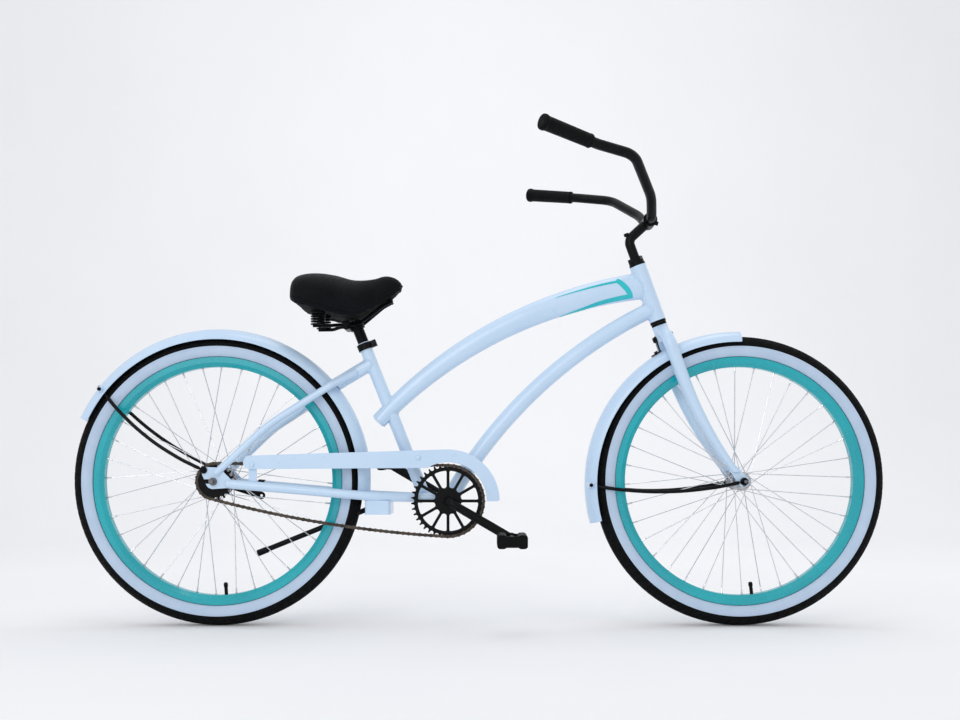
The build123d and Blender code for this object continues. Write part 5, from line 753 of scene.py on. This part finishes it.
crown_nut = Pile()
nut_out = around(Vector((0, 0, 0)), 1, radians(142))
nut_base = REAR_AXLE + nut_out * 0.3498
nut_profile = [(0, 0.0058), (0.0008, 0.0058), (0.0009, 0.0048), (0.0030, 0.0048), (0.0035, 0.0042)]
turned(crown_nut, nut_base, nut_out, nut_profile, 6)
turned(crown_nut, nut_base, nut_out, [(0.003, 0.0022), (0.0048, 0.0022), (0.0053, 0.0017)], 20)
made = crown_nut.build("rear_fender_crown_nut", [dark_steel], smooth=False)
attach(made, "frame")

# Painted domes over the chain guard's bolt heads

GUARD_FACE_Y = -0.0619
GUARD_BOLTS = ((-0.511, 0.370), (-0.136, 0.386))
DOME_PROFILE = [
    (0, 0.0054), (0.0010, 0.0056), (0.0020, 0.0053), (0.0028, 0.0040), (0.0032, 0.0022), (0.0033, 0.0006),
]

domes = Pile()
for x, z in GUARD_BOLTS:
    turned(domes, Vector((x, GUARD_FACE_Y, z)), Vector((0, -1, 0)), DOME_PROFILE, 28)
made = sharpen(domes.build("guard_bolt_domes", [frame_paint]), 60)
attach(made, "frame")

# Weld beads where the frame's tubes meet


def arc_between(start, end, radius):
    run = end - start
    middle = (start + end) * 0.5
    square = Vector((run.z, 0, -run.x)).normalized()
    return middle + square * sqrt(radius**2 - (run.length / 2) ** 2)


def angle_from(centre, point):
    return atan2(point.z - centre.z, point.x - centre.x)


top_start = SEAT_FOOT + SEAT_UP * ((0.497 - BRACKET.z) / SEAT_UP.z)
top_end = STEER_FOOT + STEER_UP * 0.4975
top_centre = arc_between(top_start, top_end, TOP_TUBE_RADIUS)
top_first = angle_from(top_centre, top_start) + 0.038 / TOP_TUBE_RADIUS
top_last = angle_from(top_centre, top_end)
down_end = STEER_FOOT + STEER_UP * 0.441
down_centre = arc_between(BRACKET, down_end, DOWN_TUBE_RADIUS)
down_first = angle_from(down_centre, BRACKET)
down_last = angle_from(down_centre, down_end)


def top_height(share):
    """The top tube's height at a share of its length."""
    return TOP_TUBE_REAR_HEIGHT + TOP_TUBE_GROWTH * share


def top_surface(share, turn, proud=0.0):
    """A point on the top tube, at a share of its length and a turn round its section."""
    angle = top_first + (top_last - top_first) * share
    out = (top_height(share) / 2 + proud) * sin(turn)
    across = (TOP_TUBE_WIDTH / 2 + proud) * cos(turn)
    return around(top_centre, TOP_TUBE_RADIUS + out, angle, across)


def down_surface(share, turn, proud=0.0):
    angle = down_first + (down_last - down_first) * share
    half = DOWN_TUBE_HALF + proud
    return around(down_centre, DOWN_TUBE_RADIUS + half * sin(turn), angle, half * cos(turn))


def straight_surface(start, end, radius):
    def surface(share, turn, proud=0.0):
        way = (end - start).normalized()
        side = Vector((0, 1, 0))
        other = way.cross(side)
        point = start + (end - start) * share
        return point + (side * cos(turn) + other * sin(turn)) * (radius + proud)

    return surface


def off_axis(point, base, way):
    out = point - base
    return (out - way * out.dot(way)).length


def joint_line(surface, first, last, base, way, radius, count=56):
    """Where a tube's surface comes up to a round bar, searched along the tube from first to last."""
    line = []
    for k in range(count):
        turn = 2 * pi * k / count
        low, high = first, last
        for _ in range(30):
            middle = (low + high) / 2
            if off_axis(surface(middle, turn), base, way) > radius:
                low = middle
            else:
                high = middle
        line.append(surface(low, turn, 0.0002))
    return line


def bead(pile, line, size=0.0021):
    """A weld bead: a rounded seam with small even ripples along it."""
    loop = line + [line[0]]
    fine = []
    for a, b in zip(loop, loop[1:]):
        steps = max(2, int((b - a).length / 0.0007))
        fine.extend([a + (b - a) * (k / steps) for k in range(steps)])
    radii = []
    walked = 0.0
    for i, point in enumerate(fine):
        walked += (point - fine[i - 1]).length if i else 0.0
        radii.append(size * (1 + 0.10 * sin(walked / 0.0032 * 2 * pi)))
    pile.add(*tube(fine, radii, 8, closed=True))


welds = Pile()
across = Vector((0, 1, 0))
bead(welds, joint_line(top_surface, 0.8, 1.0, STEER_FOOT, STEER_UP, HEAD_TUBE_HALF))
bead(welds, joint_line(top_surface, 0.25, 0.0, SEAT_FOOT, SEAT_UP, SEAT_TUBE_HALF))
bead(welds, joint_line(down_surface, 0.8, 1.0, STEER_FOOT, STEER_UP, HEAD_TUBE_HALF))
bead(welds, joint_line(down_surface, 0.3, 0.0, BRACKET, across, SHELL_HALF))
seat_surface = straight_surface(SEAT_FOOT - SEAT_UP * 0.05, SEAT_FOOT + SEAT_UP * 0.15, SEAT_TUBE_HALF)
bead(welds, joint_line(seat_surface, 0.6, 0.25, BRACKET, across, SHELL_HALF))
yoke_front = SEAT_FOOT + SEAT_UP * ((0.604 - BRACKET.z) / SEAT_UP.z)
yoke_back = Vector((-cos(radians(31)), 0, -sin(radians(31))))
yoke_surface = straight_surface(yoke_front, yoke_front + yoke_back * 0.08, YOKE_HALF)
bead(welds, joint_line(yoke_surface, 0.9, 0.0, SEAT_FOOT, SEAT_UP, SEAT_TUBE_HALF))
made = welds.build("frame_weld_beads", [frame_paint])
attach(made, "frame")

# A painted outline on the top tube behind the head tube

SCALE = 0.002309
CAMERA_REACH = 2.55


def on_side(px, py, deep=0.0175):
    """A point of the side view at the tube's near face, as a share of its length and a turn."""
    px = 484 + (px - 484) * (1 - deep / CAMERA_REACH)
    py = 455 + (py - 455) * (1 - deep / CAMERA_REACH)
    point = Vector(((px - 478.7) * SCALE, 0, (624.9 - py) * SCALE))
    share = (angle_from(top_centre, point) - top_first) / (top_last - top_first)
    out = ((point - top_centre).length - TOP_TUBE_RADIUS) / (top_height(share) / 2)
    return share, max(-0.999, min(0.999, out))


def stripe(pile, marks, side):
    """A painted band through marks of (across, down, width in mm), laid on one side of the tube."""
    ends = [Vector((*on_side(px, py), wide / 1000)) for px, py, wide in marks]
    line = smooth_line(ends, 8)
    length = TOP_TUBE_RADIUS * abs(top_last - top_first)
    verts = []
    for i, here in enumerate(line):
        before, after = line[max(i - 1, 0)], line[min(i + 1, len(line) - 1)]
        tall = top_height(here.x)
        run = Vector(((after.x - before.x) * length, (after.y - before.y) * tall / 2))
        square = Vector((-run.y, run.x)).normalized() * (here.z / 2)
        for sign in (-1, -0.33, 0.33, 1):
            share = here.x + sign * square.x / length
            out = max(-0.999, min(0.999, here.y + sign * square.y / (tall / 2)))
            turn = atan2(out, side * sqrt(1 - out * out))
            verts.append(top_surface(share, turn, 0.0003))
    faces = []
    for i in range(len(line) - 1):
        for k in range(3):
            faces.append((i * 4 + k, i * 4 + k + 1, i * 4 + k + 5, i * 4 + k + 4))
    pile.add(verts, faces)


UPPER_BAND = [(556, 297.5, 1.2), (580, 290.3, 3.2), (600, 285.0, 4.6), (618, 281.4, 5.4)]
END_BAND = [(616.5, 280.0, 10), (621, 283, 12), (627, 289, 12.5), (631, 295, 11)]
LOWER_BAND = [(633, 295.4, 10), (618, 298.2, 9.5), (600, 302.6, 8), (582, 308.6, 5), (560, 316.6, 1.4)]

outline = Pile()
for side in (-1, 1):
    for band in (UPPER_BAND, END_BAND, LOWER_BAND):
        stripe(outline, band, side)
made = outline.build("top_tube_outline", [stripe_paint])
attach(made, "frame")

# Rolled edges on the fenders


def fender_edges(name, centre, first, last, body):
    pile = Pile()
    radius = FENDER_RADIUS - FENDER_DEPTH + 0.0002
    for s in (-1, 1):
        count = 110
        line = []
        for i in range(count + 1):
            turn = radians(first + (last - first) * i / count)
            line.append(around(centre, radius, turn, s * (FENDER_HALF_WIDTH - 0.0006)))
        pile.add(*tube(line, 0.0013, 10))
    for turn in (radians(first), radians(last)):
        arc = (FENDER_HALF_WIDTH**2 + FENDER_DEPTH**2) / (2 * FENDER_DEPTH)
        edge = atan2(arc - FENDER_DEPTH, FENDER_HALF_WIDTH)
        line = []
        for i in range(25):
            a = edge + (pi - 2 * edge) * i / 24
            out = FENDER_RADIUS - arc + (arc - 0.0006) * sin(a)
            line.append(around(centre, out, turn, (arc - 0.0006) * cos(a)))
        pile.add(*tube(line, 0.0013, 10))
    made = pile.build(name, [frame_paint])
    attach(made, body)


fender_edges("rear_fender_rolled_edges", REAR_AXLE, -7, 155, "frame")
fender_edges("front_fender_rolled_edges", FRONT_FENDER_CENTRE, 89, 195, "steering")

# Saddle cover: padded vinyl over foam, with a welt round its lower edge

TAIL_X = -0.4277
SECTIONS = [
    (0.0017, 0.078, 0.744, 0.788),
    (0.016, 0.106, 0.737, 0.805),
    (0.052, 0.125, 0.728, 0.811),
    (0.098, 0.117, 0.716, 0.807),
    (0.142, 0.084, 0.709, 0.797),
    (0.180, 0.054, 0.727, 0.800),
    (0.212, 0.038, 0.749, 0.808),
    (0.236, 0.027, 0.765, 0.803),
    (0.254, 0.014, 0.776, 0.787),
]


def between(t):
    """The saddle's half width, edge height and crown height at a distance from its tail."""
    line = smooth_line([Vector((a, h, e, c)) for a, h, e, c in SECTIONS], 12)
    for p, q in zip(line, line[1:]):
        if p[0] <= t <= q[0]:
            share = (t - p[0]) / max(q[0] - p[0], 1e-9)
            return tuple(p[k] + (q[k] - p[k]) * share for k in (1, 2, 3))
    return tuple(line[-1 if t > line[-1][0] else 0][k] for k in (1, 2, 3))


def cushion_point(ahead, turn, inset=0.0):
    """A point on the padding: turn 0 is the right lower edge, 1 the left one, over the top."""
    half, edge, crown = between(ahead)
    half -= inset
    crown -= inset
    a = pi * turn
    y = -half * cos(a)
    rise = abs(sin(a)) ** 0.62
    z = edge + (crown - edge) * rise
    groove = 0.0035 * max(0.0, 1 - (abs(y) / 0.014) ** 2) * (1 if 0.03 < ahead < 0.2 else 0)
    return Vector((TAIL_X + ahead, y * (0.96 + 0.04 * rise), z - groove))


def skirt_drop(ahead):
    """How far the cover wraps down past the pan's edge."""
    return 0.0085 * min(1.0, 0.45 + ahead / 0.05) * min(1.0, 0.35 + (0.254 - ahead) / 0.05)


def cushion_mesh(inset):
    rows, around_top, under = 72, 44, 14
    verts, faces = [], []
    first, last = 0.0017, 0.254
    for i in range(rows + 1):
        ahead = first + inset + (last - first - 2 * inset) * i / rows
        half, edge, _ = between(ahead)
        drop = skirt_drop(ahead)
        half -= inset
        inner = max(half * 0.9 - 0.0035, half * 0.5)
        x = TAIL_X + ahead
        outside = [cushion_point(ahead, k / around_top, inset) for k in range(around_top + 1)]
        low, outer = edge - drop, half * 0.945
        lip_right = [Vector((x, -inner, edge)), Vector((x, -inner, low)), Vector((x, -outer, low))]
        lip_left = [Vector((x, outer, low)), Vector((x, inner, low)), Vector((x, inner, edge))]
        row = lip_right + outside + lip_left
        row += [Vector((x, inner - 2 * inner * k / under, edge)) for k in range(1, under)]
        verts.extend(row)
    ring = len(verts) // (rows + 1)
    for i in range(rows):
        for k in range(ring):
            m = (k + 1) % ring
            faces.append((i * ring + k, i * ring + m, (i + 1) * ring + m, (i + 1) * ring + k))
    faces.append(tuple(range(ring)))
    faces.append(tuple(reversed(range(rows * ring, (rows + 1) * ring))))
    return add_mesh("saddle_padding", verts, faces, [saddle_vinyl])


def apply_all(piece):
    graph = bpy.context.evaluated_depsgraph_get()
    mesh = bpy.data.meshes.new_from_object(piece.evaluated_get(graph), depsgraph=graph)
    piece.modifiers.clear()
    piece.data = mesh
    for face in mesh.polygons:
        face.use_smooth = True


def inflate(piece, pressure, most, voxel):
    """Blows the cover up a little as stuffed vinyl, and holds its underside flat on the pan."""
    remesh = piece.modifiers.new("remesh", "REMESH")
    remesh.mode = "VOXEL"
    remesh.voxel_size = voxel
    apply_all(piece)
    start = [v.co.copy() for v in piece.data.vertices]
    group = piece.vertex_groups.new(name="held")
    for v in piece.data.vertices:
        _, edge, _ = between(v.co.x - TAIL_X)
        if v.co.z < edge + 0.004:
            group.add([v.index], 1.0, "REPLACE")
    cloth = piece.modifiers.new("cloth", "CLOTH")
    settings = cloth.settings
    settings.quality = 6
    settings.mass = 0.35
    settings.tension_stiffness = 22
    settings.compression_stiffness = 22
    settings.bending_stiffness = 1.2
    settings.use_pressure = True
    settings.uniform_pressure_force = pressure
    settings.vertex_group_mass = "held"
    settings.effector_weights.gravity = 0
    cloth.point_cache.frame_start = 1
    cloth.point_cache.frame_end = 20
    for step in range(1, 21):
        bpy.context.scene.frame_set(step)
    apply_all(piece)
    for v, before in zip(piece.data.vertices, start):
        moved = v.co - before
        if moved.length > most:
            v.co = before + moved.normalized() * most
    bpy.context.scene.frame_set(1)


PRESSURE = 4.0
MOST_SWELL = 0.006
VOXEL = 0.005

cushion = cushion_mesh(0.003)
inflate(cushion, PRESSURE, MOST_SWELL, VOXEL)
cushion.data.materials.clear()
cushion.data.materials.append(saddle_vinyl)
soften = cushion.modifiers.new("soften", "SMOOTH")
soften.iterations = 3
finer = cushion.modifiers.new("finer", "SUBSURF")
finer.levels = 1
finer.render_levels = 1
apply_all(cushion)
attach(cushion, "seat")
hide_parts("saddle_cushion")

# A sewn welt round the cover's lower edge, found on the finished padding

WELT_RADIUS = 0.0016
STITCH_PITCH = 0.0042
STITCH_RISE = 0.0036

cover = BVHTree.FromObject(cushion, bpy.context.evaluated_depsgraph_get())


def on_cover(start, way):
    hit, normal, _, _ = cover.ray_cast(start, way)
    return hit + normal * 0.0002 if hit else None


welt = []
for i in range(61):
    ahead = 0.008 + 0.236 * i / 60
    _, edge, _ = between(ahead)
    welt.append(on_cover(Vector((TAIL_X + ahead, -0.3, edge + 0.005)), Vector((0, 1, 0))))
for k in (-1, 0, 1):
    welt.append(on_cover(Vector((0.1, 0.006 * k, 0.7815)), Vector((-1, 0, 0))))
for i in range(60, -1, -1):
    ahead = 0.008 + 0.236 * i / 60
    _, edge, _ = between(ahead)
    welt.append(on_cover(Vector((TAIL_X + ahead, 0.3, edge + 0.005)), Vector((0, -1, 0))))
for k in range(4, -5, -1):
    welt.append(on_cover(Vector((-0.7, 0.016 * k, 0.7485)), Vector((1, 0, 0))))
welt = [point for point in welt if point is not None]
piping = Pile()
piping.add(*tube(smooth_line(welt + [welt[0]], 3)[:-1], WELT_RADIUS, 10, closed=True))
stitch_line = smooth_line(welt + [welt[0]], 4)
walked = 0.0
for a, b in zip(stitch_line, stitch_line[1:]):
    walked += (b - a).length
    if walked > STITCH_PITCH:
        walked = 0.0
        middle = (a + b) / 2 + Vector((0, 0, STITCH_RISE))
        beside = abs(middle.y) > 0.02
        out = Vector((0, middle.y, 0) if beside else (middle.x + 0.3, 0, 0)).normalized()
        hit = on_cover(middle + out * 0.03, -out)
        if hit:
            way = (b - a).normalized() * 0.0013
            piping.add(*tube([hit - way, hit, hit + way], 0.00035, 6), 1)
made = piping.build("saddle_welt_and_stitches", [saddle_vinyl, thread])
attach(made, "seat")

# Floor, backdrop and light

bpy.context.scene.view_settings.view_transform = "Standard"
SWEEP_RADIUS = 1.6
SWEEP_START = 2.2
profile = [(-6.0, 0.0), (SWEEP_START, 0.0)]
for i in range(1, 25):
    a = pi / 2 * i / 24
    profile.append((SWEEP_START + SWEEP_RADIUS * sin(a), SWEEP_RADIUS * (1 - cos(a))))
profile.append((SWEEP_START + SWEEP_RADIUS, 6.0))
floor_verts = [Vector((x, y, z)) for y, z in profile for x in (-8.0, 8.0)]
floor_faces = [(2 * i, 2 * i + 1, 2 * i + 3, 2 * i + 2) for i in range(len(profile) - 1)]
paper = Finish("paper")
paper.colour(paper.noise(1.5, 2), [(0.3, srgb(245, 246, 248)), (0.7, srgb(248, 248, 250))])
paper.fixed(Roughness=0.9, Specular_IOR_Level=0.1)
floor = add_mesh("floor", floor_verts, floor_faces, [paper.material])
floor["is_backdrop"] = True

world = bpy.data.worlds.new("world")
world.use_nodes = True
world.node_tree.nodes["Background"].inputs["Color"].default_value = (0.98, 0.985, 1.0, 1)
world.node_tree.nodes["Background"].inputs["Strength"].default_value = 0.76
bpy.context.scene.world = world


def softbox(name, place, target, size, power):
    data = bpy.data.lights.new(name, "AREA")
    data.shape = "RECTANGLE"
    data.size, data.size_y = size
    data.energy = power
    made = bpy.data.objects.new(name, data)
    made.location = place
    made.rotation_euler = (Vector(target) - Vector(place)).to_track_quat("-Z", "Y").to_euler()
    bpy.context.scene.collection.objects.link(made)


softbox("overhead", (0.1, -0.1, 3.4), (0, 0, 0.3), (2.6, 1.0), 14)
softbox("front_fill", (-1.6, -4.2, 2.2), (0, 0, 0.5), (2.5, 2.5), 46)
softbox("rim_light", (2.4, 1.6, 2.4), (0.2, 0, 0.6), (1.6, 1.6), 5)
softbox("wall_glow", (0, 1.0, 3.2), (0, 4.0, 1.2), (2.4, 1.0), 14)

low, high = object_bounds()
